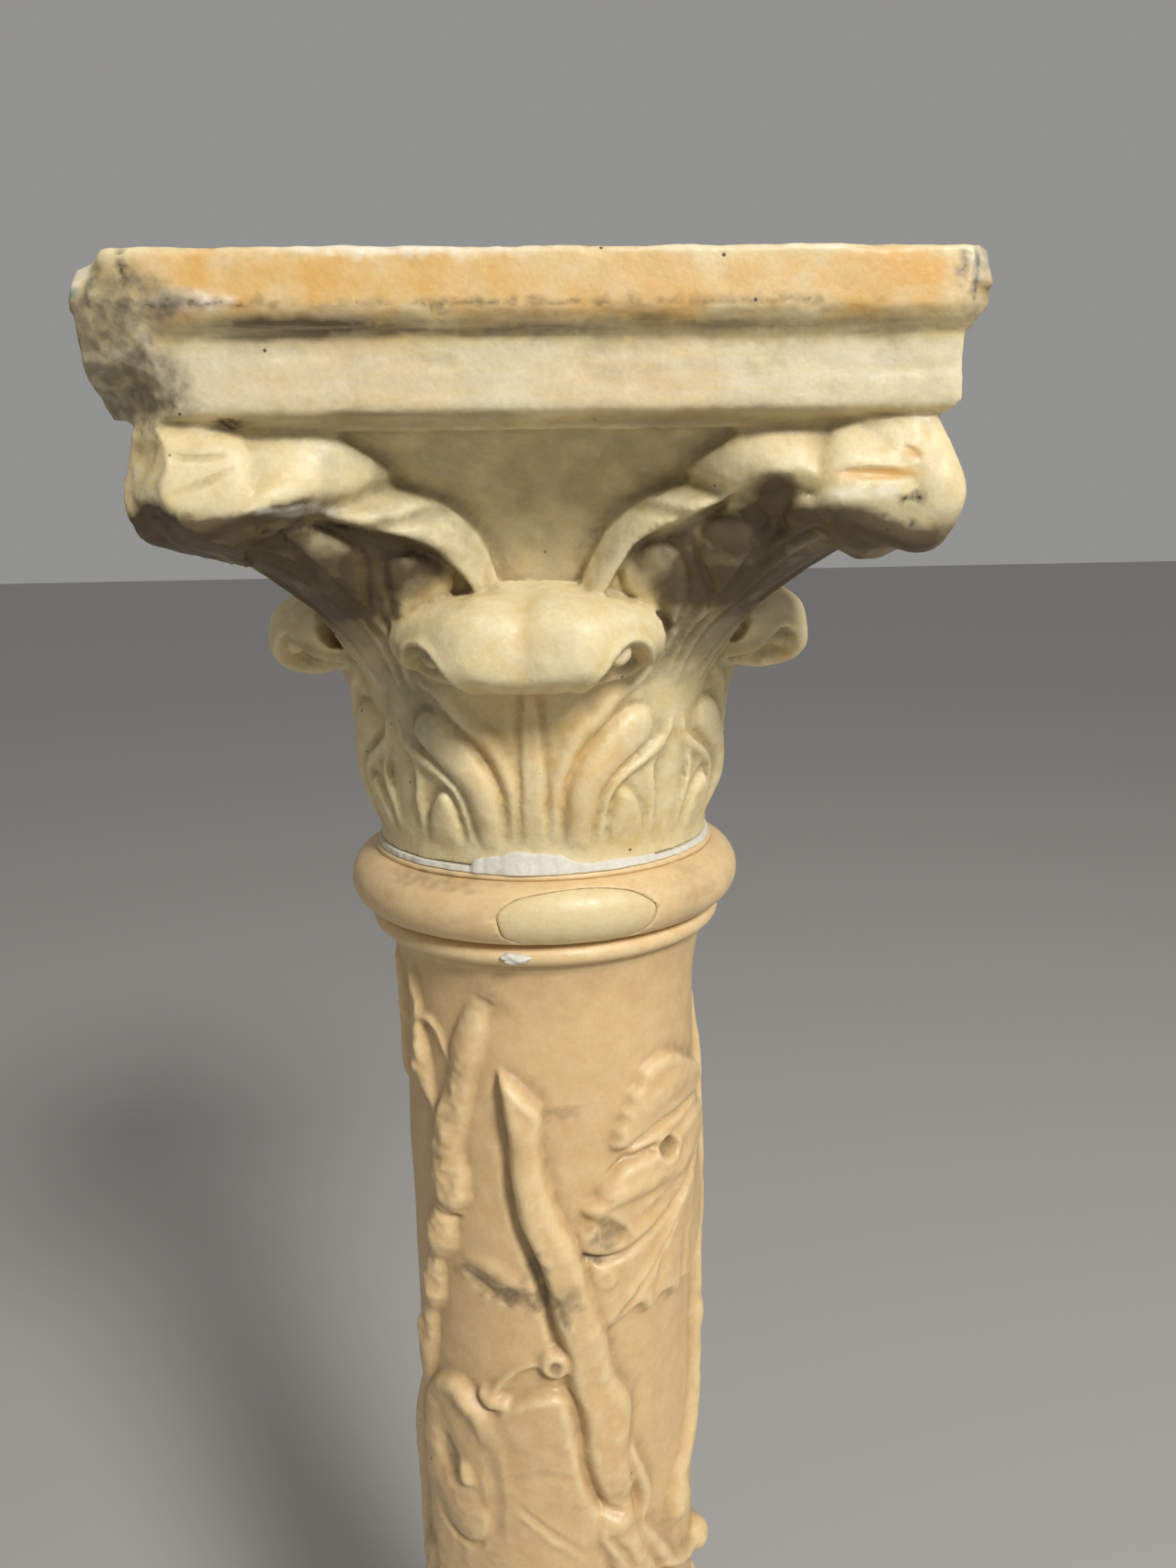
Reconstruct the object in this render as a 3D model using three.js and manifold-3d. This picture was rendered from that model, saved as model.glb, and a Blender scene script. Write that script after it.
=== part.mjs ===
// A carved marble column: a leafy square capital, a round shaft wrapped in a vine, and a plain moulded base.
// Millimetres, +Z up. The origin is the centre of the underside, and the front faces -Y.

import * as THREE from 'three';
import { mergeVertices } from 'three/addons/utils/BufferGeometryUtils.js';
import Module from 'manifold-3d';

const wasm = await Module();
wasm.setup();

// Driving dimensions
const columnHeight = 1060;
const gap = 0.3;
const roundSides = 28;

// Capital
const capitalHeight = 228;
const slabWidth = 300;
const slabHeight = 20;
const coveHeight = 7;
const fasciaWidth = 286;
const fasciaHeight = 25;
const footRadius = 77;
const cornerLeafReach = 205;
const middleLeafReach = 120;
const leafTwist = -4;

// Shaft
const bedHeight = 2.4;
const bedRadius = 79;
const bedSqueeze = 4;
const bedSqueezeAngle = 0.15;
const shaftRadius = 71;
const ringRadius = 92;
const ringHeight = 28;
const ringSeatRadius = 80;
const ringSeatHeight = 2;
const filletRadius = 83;
const filletHeight = 10.5;
const neckRadius = 76;
const neckLength = 40;
const shaftFootHeight = 12;

// Repairs on the ring and the fillet
const patchWidth = 67;
const patchHeight = 23;
const patchAngle = 7.5;
const patchDepth = 9;
const dabWidth = 12;
const dabHeight = 5;
const dabAngle = -10.5;
const dabThickness = 2;

// Base
const baseHeight = 130;
const plinthWidth = 280;
const plinthHeight = 48;
const lowerRingRadius = 118;
const lowerRingHeight = 34;
const upperRingRadius = 94;
const upperRingHeight = 20;

// Colours
const capitalColour = '#e3d7b4';
const shaftColour = '#dcbf93';
const patchColour = '#e0cfa9';
const plasterColour = '#eeece4';
const baseColour = '#d9bd92';

// Levels that the sizes give
const capitalBottom = columnHeight - capitalHeight;
const bedTop = capitalBottom - gap;
const shaftTop = bedTop - bedHeight - gap;
const shaftBottom = baseHeight + gap;
const fasciaTop = columnHeight - slabHeight - coveHeight;
const fasciaBottom = fasciaTop - fasciaHeight;
const bellTop = fasciaBottom - 4;
const ringBottom = shaftTop - ringSeatHeight - ringHeight;
const filletBottom = ringBottom - filletHeight;

const mix = (a, b, share) => a + (b - a) * share;
const bump = (x, centre, width) => Math.exp(-(((x - centre) / width) ** 2));
const upward = new THREE.Vector3(0, 0, 1);
const polar = (radius, angle, height) => (
  new THREE.Vector3(radius * Math.sin(angle), -radius * Math.cos(angle), height)
);

// A closed solid from a list of corners and triangles, turned so that its faces point out
function solidFrom(corners, triangles) {
  const geometry = new THREE.BufferGeometry();
  geometry.setAttribute('position', new THREE.Float32BufferAttribute(corners.flatMap((c) => c.toArray()), 3));
  geometry.setIndex(triangles.flat());
  return solidOf(geometry);
}

function solidOf(source) {
  const bare = source.clone();
  bare.deleteAttribute('normal');
  bare.deleteAttribute('uv');
  const merged = mergeVertices(bare, 1e-4);
  const index = merged.index.array;
  const at = (i) => new THREE.Vector3().fromBufferAttribute(merged.attributes.position, i);
  const faces = [];
  let volume = 0;
  for (let i = 0; i < index.length; i += 3) {
    const [a, b, c] = [index[i], index[i + 1], index[i + 2]];
    if (a === b || b === c || c === a) continue;
    faces.push([a, b, c]);
    volume += at(a).dot(at(b).cross(at(c)));
  }
  const outward = volume > 0 ? faces : faces.map(([a, b, c]) => [a, c, b]);
  return new wasm.Manifold(new wasm.Mesh({
    numProp: 3,
    vertProperties: new Float32Array(merged.attributes.position.array),
    triVerts: new Uint32Array(outward.flat()),
  }));
}

const joined = (solids) => solids.reduce((whole, solid) => whole.add(solid));

// A solid through rings of as many points each, with a flat fan over each end
function loft(rings) {
  const count = rings[0].length;
  const triangles = [];
  for (let i = 0; i < rings.length - 1; i += 1) {
    for (let j = 0; j < count; j += 1) {
      const a = i * count + j;
      const b = i * count + ((j + 1) % count);
      triangles.push([a, b, b + count], [a, b + count, a + count]);
    }
  }
  const last = (rings.length - 1) * count;
  for (let j = 1; j < count - 1; j += 1) {
    triangles.push([0, j + 1, j], [last, last + j, last + j + 1]);
  }
  return solidFrom(rings.flat(), triangles);
}

// The corners round the outside of a grid, in order
function rimOf(rows, columns) {
  const rim = [];
  for (let j = 0; j < columns - 1; j += 1) rim.push(j);
  for (let i = 0; i < rows - 1; i += 1) rim.push(i * columns + columns - 1);
  for (let j = columns - 1; j > 0; j -= 1) rim.push((rows - 1) * columns + j);
  for (let i = rows - 1; i > 0; i -= 1) rim.push(i * columns);
  return rim;
}

// A solid whose outer face is a grid of points and whose sides all run to one point inside the stone
function faceSolid(grid, inside) {
  const columns = grid[0].length;
  const rows = grid.length;
  const triangles = [];
  const id = (i, j) => i * columns + j;
  for (let i = 0; i < rows - 1; i += 1) {
    for (let j = 0; j < columns - 1; j += 1) {
      triangles.push([id(i, j), id(i, j + 1), id(i + 1, j + 1)], [id(i, j), id(i + 1, j + 1), id(i + 1, j)]);
    }
  }
  rimOf(rows, columns).forEach((corner, k, rim) => {
    triangles.push([rim[(k + 1) % rim.length], corner, rows * columns]);
  });
  return solidFrom([...grid.flat(), inside], triangles);
}

// A turned solid: its profile is a list of [radius, height] from the bottom up
function turned(profile, sides = roundSides) {
  const points = profile.map(([radius, height]) => new THREE.Vector2(radius, height));
  const bottom = new THREE.Vector2(0, points[0].y);
  const top = new THREE.Vector2(0, points.at(-1).y);
  const lathe = new THREE.LatheGeometry([bottom, ...points, top], sides);
  return solidOf(lathe.rotateX(Math.PI / 2));
}

// Points of a half-round moulding, from its bottom edge to its top edge
function halfRound(seat, reach, bottom, height, steps) {
  return Array.from({ length: steps + 1 }, (_, i) => {
    const turn = Math.PI * (i / steps - 0.5);
    return [seat + (reach - seat) * Math.cos(turn), bottom + height * 0.5 * (1 + Math.sin(turn))];
  });
}

// A square block whose profile is a list of [half width, height]
function squareBlock(profile) {
  return loft(profile.map(([half, height]) => [[-1, -1], [1, -1], [1, 1], [-1, 1]].map(
    ([x, y]) => new THREE.Vector3(x * half, y * half, height),
  )));
}

// Capital

// The bell: round at the foot, flaring to the square of the fascia
const bellFlare = 5.4;
const bellSquareness = 0.5;
const bellLevels = [0, 0.55, 0.72, 0.84, 0.92, 0.97, 1];
const bellSides = 24;
const bellTurn = 0.011;

function bellRadius(angle, share) {
  const half = mix(footRadius, fasciaWidth / 2 - 11, share ** bellFlare);
  const power = 2 + bellSquareness * share ** 4 / (1.02 - share);
  return half / (Math.abs(Math.cos(angle)) ** power + Math.abs(Math.sin(angle)) ** power) ** (1 / power);
}

function bell() {
  return loft(bellLevels.map((share) => Array.from({ length: bellSides }, (_, i) => {
    const angle = (i / bellSides) * 2 * Math.PI + bellTurn;
    return polar(bellRadius(angle, share), angle, mix(capitalBottom, bellTop + 3, share));
  })));
}

function abacus() {
  const slab = slabWidth / 2;
  const fascia = fasciaWidth / 2;
  const slabBottom = columnHeight - slabHeight;
  return squareBlock([
    [fascia - 10, bellTop],
    [fascia - 8, fasciaBottom - 1.5],
    [fascia - 1, fasciaBottom],
    [fascia, fasciaBottom + 3],
    [fascia, fasciaTop],
    [mix(fascia, slab, 0.25), mix(fasciaTop, slabBottom, 0.6)],
    [slab - 1, slabBottom],
    [slab, slabBottom + 1],
    [slab, columnHeight - 1],
    [slab - 1, columnHeight],
  ]);
}

// The feet of all the leaves sit a little round from the square of the slab. A leaf straightens up by the
// share of its length in straightBy, and the middle leaves never do.
// A leaf is given by its spine and its edge, both from the foot to the curled tip. A spine point is
// [reach, drop] and an edge point is [half angle, reach, drop]. Reach is a share of the way out from the
// foot of the capital to the tip, and drop is a share of the capital's height.
const cornerLeaf = {
  reach: cornerLeafReach,
  spine: [
    [-0.05, 0.985], [-0.03, 0.82], [0.08, 0.68], [0.18, 0.59], [0.33, 0.515], [0.5, 0.455],
    [0.68, 0.419], [0.8, 0.43], [0.89, 0.438], [0.96, 0.41], [1, 0.35], [0.95, 0.27],
  ],
  edge: [
    [8, -0.05, 0.985], [20, -0.04, 0.79], [34, 0, 0.65], [36, 0.06, 0.55], [35, 0.1, 0.47],
    [30, 0.17, 0.385], [22, 0.3, 0.325], [19, 0.44, 0.28], [15.5, 0.55, 0.245], [9.5, 0.64, 0.225],
    [6, 0.73, 0.215], [3, 0.8, 0.21],
  ],
  notches: [[0.545, 0.05, 0.12], [0.82, 0.04, 0.12]],
  inside: [-0.3, 0.263],
  bend: 1.8,
  rimHeight: 5,
  rimStart: 0.3,
  tipDip: 0,
  straightBy: 0.4,
};

const middleLeaf = {
  reach: middleLeafReach,
  spine: [
    [-0.07, 0.988], [0.1, 0.86], [0.16, 0.77], [0.24, 0.715], [0.42, 0.662], [0.62, 0.664],
    [0.82, 0.655], [0.95, 0.63], [1, 0.588], [0.94, 0.54], [0.72, 0.508], [0.3, 0.48],
  ],
  edge: [
    [40.5, -0.07, 0.988], [39.5, 0.08, 0.84], [42.5, 0.1, 0.76], [43, 0.14, 0.68], [37, 0.28, 0.615],
    [33, 0.42, 0.605], [31.5, 0.58, 0.598], [31, 0.66, 0.58], [30.5, 0.68, 0.56], [29.5, 0.62, 0.535],
    [27, 0.45, 0.515], [22, 0.15, 0.495],
  ],
  notches: [],
  inside: [-0.3, 0.62],
  bend: 2.6,
  rimHeight: 2.5,
  rimStart: 0.08,
  tipDip: 3,
  straightBy: Infinity,
};

const acrossLeaf = [-1, -0.88, -0.66, -0.33, 0, 0.33, 0.66, 0.88, 1];

// How far the carving stands out of the leaf: a raised rim, a rib down the middle with hollows beside it,
// and a dip that parts the curled tip in two
function leafRelief(leaf, across, along) {
  const side = Math.abs(across);
  const rim = along > leaf.rimStart ? leaf.rimHeight * bump(side, 0.88, 0.1) : 0;
  const rib = 2.5 * bump(side, 0, 0.12) * (1 - along);
  const hollow = -1.5 * bump(side, 0.66, 0.1);
  const dip = along > 0.7 ? leaf.tipDip * bump(side, 0, 0.2) : 0;
  return rim + rib + hollow - dip;
}

function leafSolid(leaf, turn) {
  const rows = leaf.spine.length;
  const out = (share) => mix(footRadius + 1, leaf.reach, share);
  const grid = [];
  for (let i = 0; i < rows; i += 1) {
    const along = i / (rows - 1);
    const [spineReach, spineDrop] = leaf.spine[i];
    const [halfAngle, edgeReach, edgeDrop] = leaf.edge[i];
    const twist = THREE.MathUtils.degToRad(leafTwist) * Math.max(0, 1 - along / leaf.straightBy);
    const notch = leaf.notches.reduce(
      (cut, [at, width, depth]) => cut * (1 - depth * bump(along, at, width)),
      1,
    );
    grid.push(acrossLeaf.map((across) => {
      const bend = Math.abs(across) ** leaf.bend;
      const radius = mix(out(spineReach), out(edgeReach), bend) + leafRelief(leaf, across, along);
      const drop = mix(spineDrop, edgeDrop, bend) * capitalHeight;
      const angle = THREE.MathUtils.degToRad(halfAngle * notch) * across;
      return polar(radius, turn + twist + angle, columnHeight - drop);
    }));
  }
  const [insideReach, insideDrop] = leaf.inside;
  return faceSolid(grid, polar(out(insideReach), turn, columnHeight - insideDrop * capitalHeight));
}

// The front left corner is knocked off from the slab down to the leaf tip. Each level of the break is
// [height below the top, cut along the front, cut along the left side].
const brokenLevels = [
  [-112, 60, 60], [-97, 56, 56], [-88, 38, 38], [-78, 31, 31], [-60, 36, 24], [-52, 36, 15], [-27, 25, 12],
  [-17, 19, 6], [-6, 17, 9], [1, 13, 38],
];
const breakRidge = 1.5;

function breakBlock() {
  const corner = slabWidth / 2;
  const clear = 40;
  return loft(brokenLevels.map(([height, front, side]) => [
    [front + 4, -clear], [front, 0], [front / 2 - breakRidge, side / 2 - breakRidge], [0, side],
    [-clear, side + 4], [-clear, -clear],
  ].map(([x, y]) => new THREE.Vector3(x - corner, y - corner, columnHeight + height))));
}

// The front right corner of the slab is only chipped
const chip = { size: 5, height: 9 };

function chipBlock() {
  const corner = slabWidth / 2;
  return loft([-chip.height, chip.height].map((height) => [
    [-chip.size, 2], [2, -chip.size], [2 * chip.size, 0], [2 * chip.size, 2 * chip.size], [0, 2 * chip.size],
  ].map(([x, y]) => new THREE.Vector3(
    corner + x - height * 0.4,
    -corner - y - height * 0.4,
    columnHeight + height * 0.7,
  ))));
}

function capital() {
  const leaves = [0, 1, 2, 3].flatMap((quarter) => {
    const turn = quarter * Math.PI / 2;
    return [leafSolid(middleLeaf, turn), leafSolid(cornerLeaf, turn + Math.PI / 4)];
  });
  return joined([bell(), abacus(), ...leaves]).subtract(breakBlock()).subtract(chipBlock());
}

// Shaft

function shaftBody() {
  const foot = shaftBottom + shaftFootHeight;
  return turned([
    [filletRadius - 3, shaftBottom],
    [filletRadius - 3, foot],
    [neckRadius, foot + 1],
    [mix(shaftRadius, neckRadius, 0.3), foot + neckLength * 0.4],
    [shaftRadius, foot + neckLength],
    [shaftRadius, filletBottom - neckLength],
    [mix(shaftRadius, neckRadius, 0.3), filletBottom - neckLength * 0.4],
    ...halfRound(neckRadius, filletRadius, filletBottom, filletHeight, 4),
    ...halfRound(neckRadius + 2, ringRadius, ringBottom, ringHeight, 6).slice(1),
    [ringSeatRadius, shaftTop - ringSeatHeight],
    [ringSeatRadius, shaftTop],
  ]);
}

// The vine is drawn on the unrolled shaft: [distance round from the front, drop below the shaft's top].
// Each ridge follows a path and has a half width on either side of it at each of its points.
const unrolledRadius = 72;
const ridgeRoot = 4;
const ridgeSection = [[-1, -1], [-0.8, 0.6], [0, 1], [0.8, 0.6], [1, -1]];

function onShaft(around, drop, height) {
  return polar(shaftRadius + height, around / unrolledRadius, shaftTop - drop);
}

function ridge({ path, left, right = left, height, steps }) {
  const spline = new THREE.SplineCurve(path.map(([x, y]) => new THREE.Vector2(x, y)));
  const sample = (list, share) => {
    const place = share * (list.length - 1);
    const low = Math.min(Math.floor(place), list.length - 2);
    return mix(list[low], list[low + 1], place - low);
  };
  const rings = [];
  for (let i = 0; i <= steps; i += 1) {
    const share = i / steps;
    const point = spline.getPoint(share);
    const along = spline.getTangent(share);
    rings.push(ridgeSection.map(([side, lift]) => {
      const width = side < 0 ? sample(left, share) : sample(right, share);
      const rise = lift < 0 ? -ridgeRoot : lift * sample(height, share);
      return onShaft(point.x + along.y * side * width, point.y - along.x * side * width, rise);
    }));
  }
  return loft(rings);
}

// A bud or knot: a low round boss on the shaft
function boss(around, drop, radius, height) {
  const sides = 7;
  const rings = [[1, -ridgeRoot], [1, height * 0.4], [0.5, height]];
  return loft(rings.map(([share, rise]) => Array.from({ length: sides }, (_, i) => {
    const turn = (i / sides) * 2 * Math.PI;
    return onShaft(around + radius * share * Math.cos(turn), drop + radius * share * Math.sin(turn), rise);
  })));
}

const stems = [
  // the pruned trunk that climbs the front, and its way on round the shaft below
  {
    path: [
      [-24, 92], [-14, 118], [-13, 145], [-7, 165], [1, 188], [8, 212], [13, 240], [21, 270], [26, 300],
      [31, 335], [40, 370], [58, 410], [78, 455], [96, 505], [104, 560], [98, 610], [84, 650],
    ],
    left: [1, 7, 7, 9, 10, 11, 12, 12, 11, 12, 11, 10, 10, 9, 9, 8, 5],
    height: [2, 7, 8, 8, 8, 7, 7, 7, 7, 7, 7, 6, 6, 6, 6, 5, 2],
    steps: 18,
  },
  // the knotty stem on the left, and its way on round the shaft below
  {
    path: [
      [-36, 62], [-43, 90], [-51, 120], [-57, 150], [-60, 172], [-70, 205], [-79, 240], [-92, 285],
      [-106, 335], [-118, 390], [-120, 450], [-110, 510], [-90, 565], [-72, 620], [-66, 655],
    ],
    left: [4, 7, 8, 10, 7, 9, 7, 9, 7, 8, 7, 8, 7, 6, 3],
    height: [2, 6, 6, 8, 5, 7, 5, 6, 5, 6, 5, 5, 5, 5, 2],
    steps: 15,
  },
  // the thin stem on the right that ends in a knot
  {
    path: [[118, 90], [112, 130], [100, 175], [92, 215], [86, 260], [80, 300], [70, 333]],
    left: [2, 5, 5, 5, 5, 5, 4],
    height: [2, 5, 5, 5, 5, 5, 3],
    steps: 7,
  },
  // two plain stems on the back
  {
    path: [
      [190, 70], [176, 130], [184, 200], [204, 270], [214, 345], [202, 420], [180, 490], [170, 560],
      [182, 640],
    ],
    left: [3, 8, 9, 9, 8, 9, 8, 7, 4],
    height: [2, 6, 7, 6, 6, 6, 6, 5, 2],
    steps: 9,
  },
  {
    path: [[-200, 130], [-176, 180], [-160, 240], [-166, 310], [-180, 380], [-172, 450], [-150, 520]],
    left: [2, 5, 6, 6, 6, 5, 2],
    height: [2, 5, 5, 5, 5, 5, 2],
    steps: 6,
  },
];

const leafSteps = 5;
const shaftLeaves = [
  // the lobed leaf on the upper right: three lobes that point left from one root
  {
    path: [[104, 142], [84, 122], [58, 110], [28, 126]],
    left: [10, 17, 16, 3],
    right: [10, 17, 15, 5],
    height: [2, 5, 6, 3],
  },
  {
    path: [[104, 146], [78, 150], [44, 150], [11, 168]],
    left: [12, 15, 13, 8],
    right: [12, 22, 20, 10],
    height: [2, 6, 7, 3],
  },
  {
    path: [[104, 158], [84, 172], [58, 192], [24, 216]],
    left: [10, 16, 16, 4],
    right: [10, 15, 14, 4],
    height: [2, 5, 5, 2],
  },
  // the broad leaf on the lower left, with two lobes at its top
  {
    path: [[-46, 362], [-54, 325], [-58, 290], [-50, 258]],
    left: [14, 24, 24, 10],
    right: [14, 18, 16, 10],
    height: [2, 6, 7, 3],
  },
  {
    path: [[-26, 362], [-20, 325], [-14, 288], [-8, 254]],
    left: [10, 16, 18, 10],
    right: [10, 20, 20, 12],
    height: [2, 5, 6, 3],
  },
  // the slender leaf at the upper left
  { path: [[-88, 48], [-84, 75], [-76, 98], [-68, 118]], left: [3, 8, 10, 2], height: [2, 5, 5, 2] },
];

// Buds and knots: distance round, drop, radius and height
const bosses = [
  [22, 193, 8, 6], [-3, 237, 8, 6], [8, 310, 5, 4], [67, 334, 9, 7], [-55, 328, 11, 7], [-36, 262, 5, 5],
];

// The sides that the photo doesn't show carry plainer leaves along the stems: distance round, drop, side
const hiddenLeaves = [
  [186, 150, 1], [196, 225, -1], [212, 320, 1], [196, 430, -1], [176, 520, 1], [-168, 215, 1],
  [-170, 330, -1], [-116, 420, 1], [-104, 530, -1], [-76, 600, 1], [52, 400, -1], [88, 480, 1],
];

function hiddenLeaf([around, drop, side]) {
  const reach = 34 * side;
  return ridge({
    path: [[around, drop], [around + reach * 0.6, drop - 20], [around + reach, drop - 46]],
    left: [4, 13, 1],
    height: [3, 6, 2],
    steps: 3,
  });
}

// The ring's repair fills a long rounded cut in its front
function patchBlock(grow) {
  const width = patchWidth / 2 + grow;
  const height = patchHeight / 2 + grow;
  const squareness = 0.7;
  const sides = 20;
  const middle = ringBottom + ringHeight / 2 - 1;
  return loft([ringRadius - patchDepth - grow, ringRadius + 2 * patchDepth].map((reach) => (
    Array.from({ length: sides }, (_, i) => {
      const turn = (i / sides) * 2 * Math.PI;
      const x = width * Math.sign(Math.cos(turn)) * Math.abs(Math.cos(turn)) ** squareness;
      const z = height * Math.sign(Math.sin(turn)) * Math.abs(Math.sin(turn)) ** squareness;
      const point = new THREE.Vector3(x, -reach, middle + z);
      return point.applyAxisAngle(upward, THREE.MathUtils.degToRad(patchAngle));
    })
  )));
}

function carvedShaft(body) {
  const vine = [
    ...stems.map(ridge),
    ...shaftLeaves.map((leaf) => ridge({ ...leaf, steps: leafSteps })),
    ...hiddenLeaves.map(hiddenLeaf),
    ...bosses.map((args) => boss(...args)),
  ];
  return joined([body, ...vine]).subtract(patchBlock(gap));
}

// The bed of plaster under the capital, with its rim pushed out unevenly at the front
function plasterBed() {
  const rim = Array.from({ length: roundSides }, (_, i) => {
    const angle = (i / roundSides) * 2 * Math.PI;
    const front = Math.max(0, Math.cos(angle - bedSqueezeAngle)) ** 6;
    return [angle, bedRadius + bedSqueeze * front * (0.8 + 0.2 * Math.cos(9 * angle))];
  });
  return loft([bedTop - bedHeight, bedTop].map((level) => rim.map(
    ([angle, reach]) => polar(reach, angle, level),
  )));
}

// The dab follows the round of the fillet and stands just proud of it
function dab() {
  const columns = 6;
  const rows = 4;
  const middle = filletBottom + filletHeight / 2;
  const skin = (offset, dome) => Array.from({ length: rows + 1 }, (_, i) => (
    Array.from({ length: columns + 1 }, (__, j) => {
      const [x, z] = [2 * j / columns - 1, 2 * i / rows - 1];
      const shrink = Math.sqrt(1 - 0.5 * z * z);
      const rise = z * dabHeight / 2;
      const round = neckRadius + (filletRadius - neckRadius) * Math.sqrt(1 - (2 * rise / filletHeight) ** 2);
      const angle = THREE.MathUtils.degToRad(dabAngle) + x * shrink * dabWidth / 2 / filletRadius;
      return polar(round + offset + dome * (1 - x * x) * (1 - z * z), angle, middle + rise);
    })
  ));
  const front = skin(gap + 0.8, dabThickness);
  const back = skin(gap, 0);
  return slabBetween(front, back);
}

// A solid between two grids of the same size
function slabBetween(front, back) {
  const rows = front.length;
  const columns = front[0].length;
  const half = rows * columns;
  const id = (i, j) => i * columns + j;
  const triangles = [];
  for (let i = 0; i < rows - 1; i += 1) {
    for (let j = 0; j < columns - 1; j += 1) {
      const [a, b, c, d] = [id(i, j), id(i, j + 1), id(i + 1, j + 1), id(i + 1, j)];
      triangles.push([a, b, c], [a, c, d], [a + half, c + half, b + half], [a + half, d + half, c + half]);
    }
  }
  rimOf(rows, columns).forEach((corner, k, rim) => {
    const next = rim[(k + 1) % rim.length];
    triangles.push([next, corner, corner + half], [next, corner + half, next + half]);
  });
  return solidFrom([...front.flat(), ...back.flat()], triangles);
}

// Base

function base() {
  const lowerTop = plinthHeight + lowerRingHeight;
  const upperBottom = baseHeight - upperRingHeight;
  const hollowBottom = lowerTop + 6;
  const hollowTop = upperBottom - 4;
  const waist = upperRingRadius - 12;
  const hollow = Array.from({ length: 4 }, (_, i) => {
    const turn = (i / 3) * Math.PI / 2;
    return [
      mix(lowerRingRadius - 14, waist, Math.sin(turn)),
      mix(hollowTop, hollowBottom, Math.cos(turn)),
    ];
  });
  const mouldings = turned([
    [lowerRingRadius - 12, plinthHeight - 2],
    ...halfRound(lowerRingRadius - 12, lowerRingRadius, plinthHeight, lowerRingHeight, 4),
    [lowerRingRadius - 13, lowerTop],
    [lowerRingRadius - 13, hollowBottom - 0.5],
    ...hollow,
    [waist + 3, hollowTop],
    [waist + 3, upperBottom],
    ...halfRound(waist + 2, upperRingRadius, upperBottom, upperRingHeight, 5).slice(0, -1),
    [waist + 2, baseHeight],
  ]);
  const edge = plinthWidth / 2;
  const plinth = squareBlock([[edge - 1, 0], [edge, 1], [edge, plinthHeight - 1], [edge - 1, plinthHeight]]);
  return plinth.add(mouldings);
}

const group = new THREE.Group();

function addPiece(name, solid, colour, roughness) {
  const { vertProperties, triVerts, numProp } = solid.getMesh();
  const geometry = new THREE.BufferGeometry();
  geometry.setAttribute('position', new THREE.Float32BufferAttribute(vertProperties, numProp));
  geometry.setIndex(Array.from(triVerts));
  geometry.computeVertexNormals();
  const material = new THREE.MeshStandardMaterial({ color: colour, roughness, metalness: 0 });
  const mesh = new THREE.Mesh(geometry, material);
  mesh.name = name;
  group.add(mesh);
}

const plainShaft = shaftBody();

addPiece('capital', capital(), capitalColour, 0.55);
addPiece('joint_plaster', plasterBed(), plasterColour, 0.9);
addPiece('shaft', carvedShaft(plainShaft), shaftColour, 0.5);
addPiece('ring_patch', plainShaft.intersect(patchBlock(0)), patchColour, 0.5);
addPiece('fillet_plaster_dab', dab(), plasterColour, 0.9);
addPiece('base', base(), baseColour, 0.5);

export default group;
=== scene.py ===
# %% [markdown]
# A carved marble column, dressed over its solid frame
# The frame holds six plain solids: the capital, the bed of plaster under it, the shaft, the patch in the
# shaft's ring, a dab of plaster and the base. This lesson keeps their sizes and places, and makes each one
# again with the carver's finer work, then gives it the finish of old marble.

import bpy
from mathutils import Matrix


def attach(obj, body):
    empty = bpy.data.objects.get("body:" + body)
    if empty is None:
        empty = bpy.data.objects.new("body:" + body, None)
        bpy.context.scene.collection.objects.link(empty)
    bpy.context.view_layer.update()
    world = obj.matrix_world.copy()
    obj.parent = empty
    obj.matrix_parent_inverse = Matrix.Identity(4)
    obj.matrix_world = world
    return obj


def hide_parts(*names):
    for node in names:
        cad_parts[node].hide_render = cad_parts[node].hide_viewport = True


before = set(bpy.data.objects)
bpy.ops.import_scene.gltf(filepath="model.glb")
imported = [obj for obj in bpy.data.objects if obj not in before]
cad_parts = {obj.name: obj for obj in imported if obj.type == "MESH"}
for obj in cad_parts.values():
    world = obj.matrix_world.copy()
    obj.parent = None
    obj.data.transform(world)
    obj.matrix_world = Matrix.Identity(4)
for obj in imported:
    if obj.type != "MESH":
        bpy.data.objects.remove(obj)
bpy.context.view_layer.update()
print("pieces in the frame:", ", ".join(sorted(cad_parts)))

# %% [markdown]
# Numbers come first. A carving is a long list of small hills and hollows, so it helps to have a few short
# functions that blend two values, make a soft hill, make a soft step, and turn an angle and a height into
# a point round the column. Everything is in millimetres until it becomes a mesh.

# %% Helpers for numbers
import itertools
import math
from collections import namedtuple

import bpy
import numpy as np
from mathutils import Matrix, Vector

MM = 0.001


def mix(start, end, share):
    return start + (end - start) * share


def bump(value, centre, width):
    return np.exp(-(((value - centre) / width) ** 2))


def step(value, start, end):
    """0 before start, 1 after end, and a soft ramp between them"""
    share = np.clip((value - start) / (end - start), 0, 1)
    return share * share * (3 - 2 * share)


def polar(radius, angle, height):
    """Points round the column: angle 0 is the front, and it grows towards +X"""
    radius, angle, height = np.broadcast_arrays(radius, angle, height)
    return np.stack([radius * np.sin(angle), -radius * np.cos(angle), height], -1)


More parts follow.
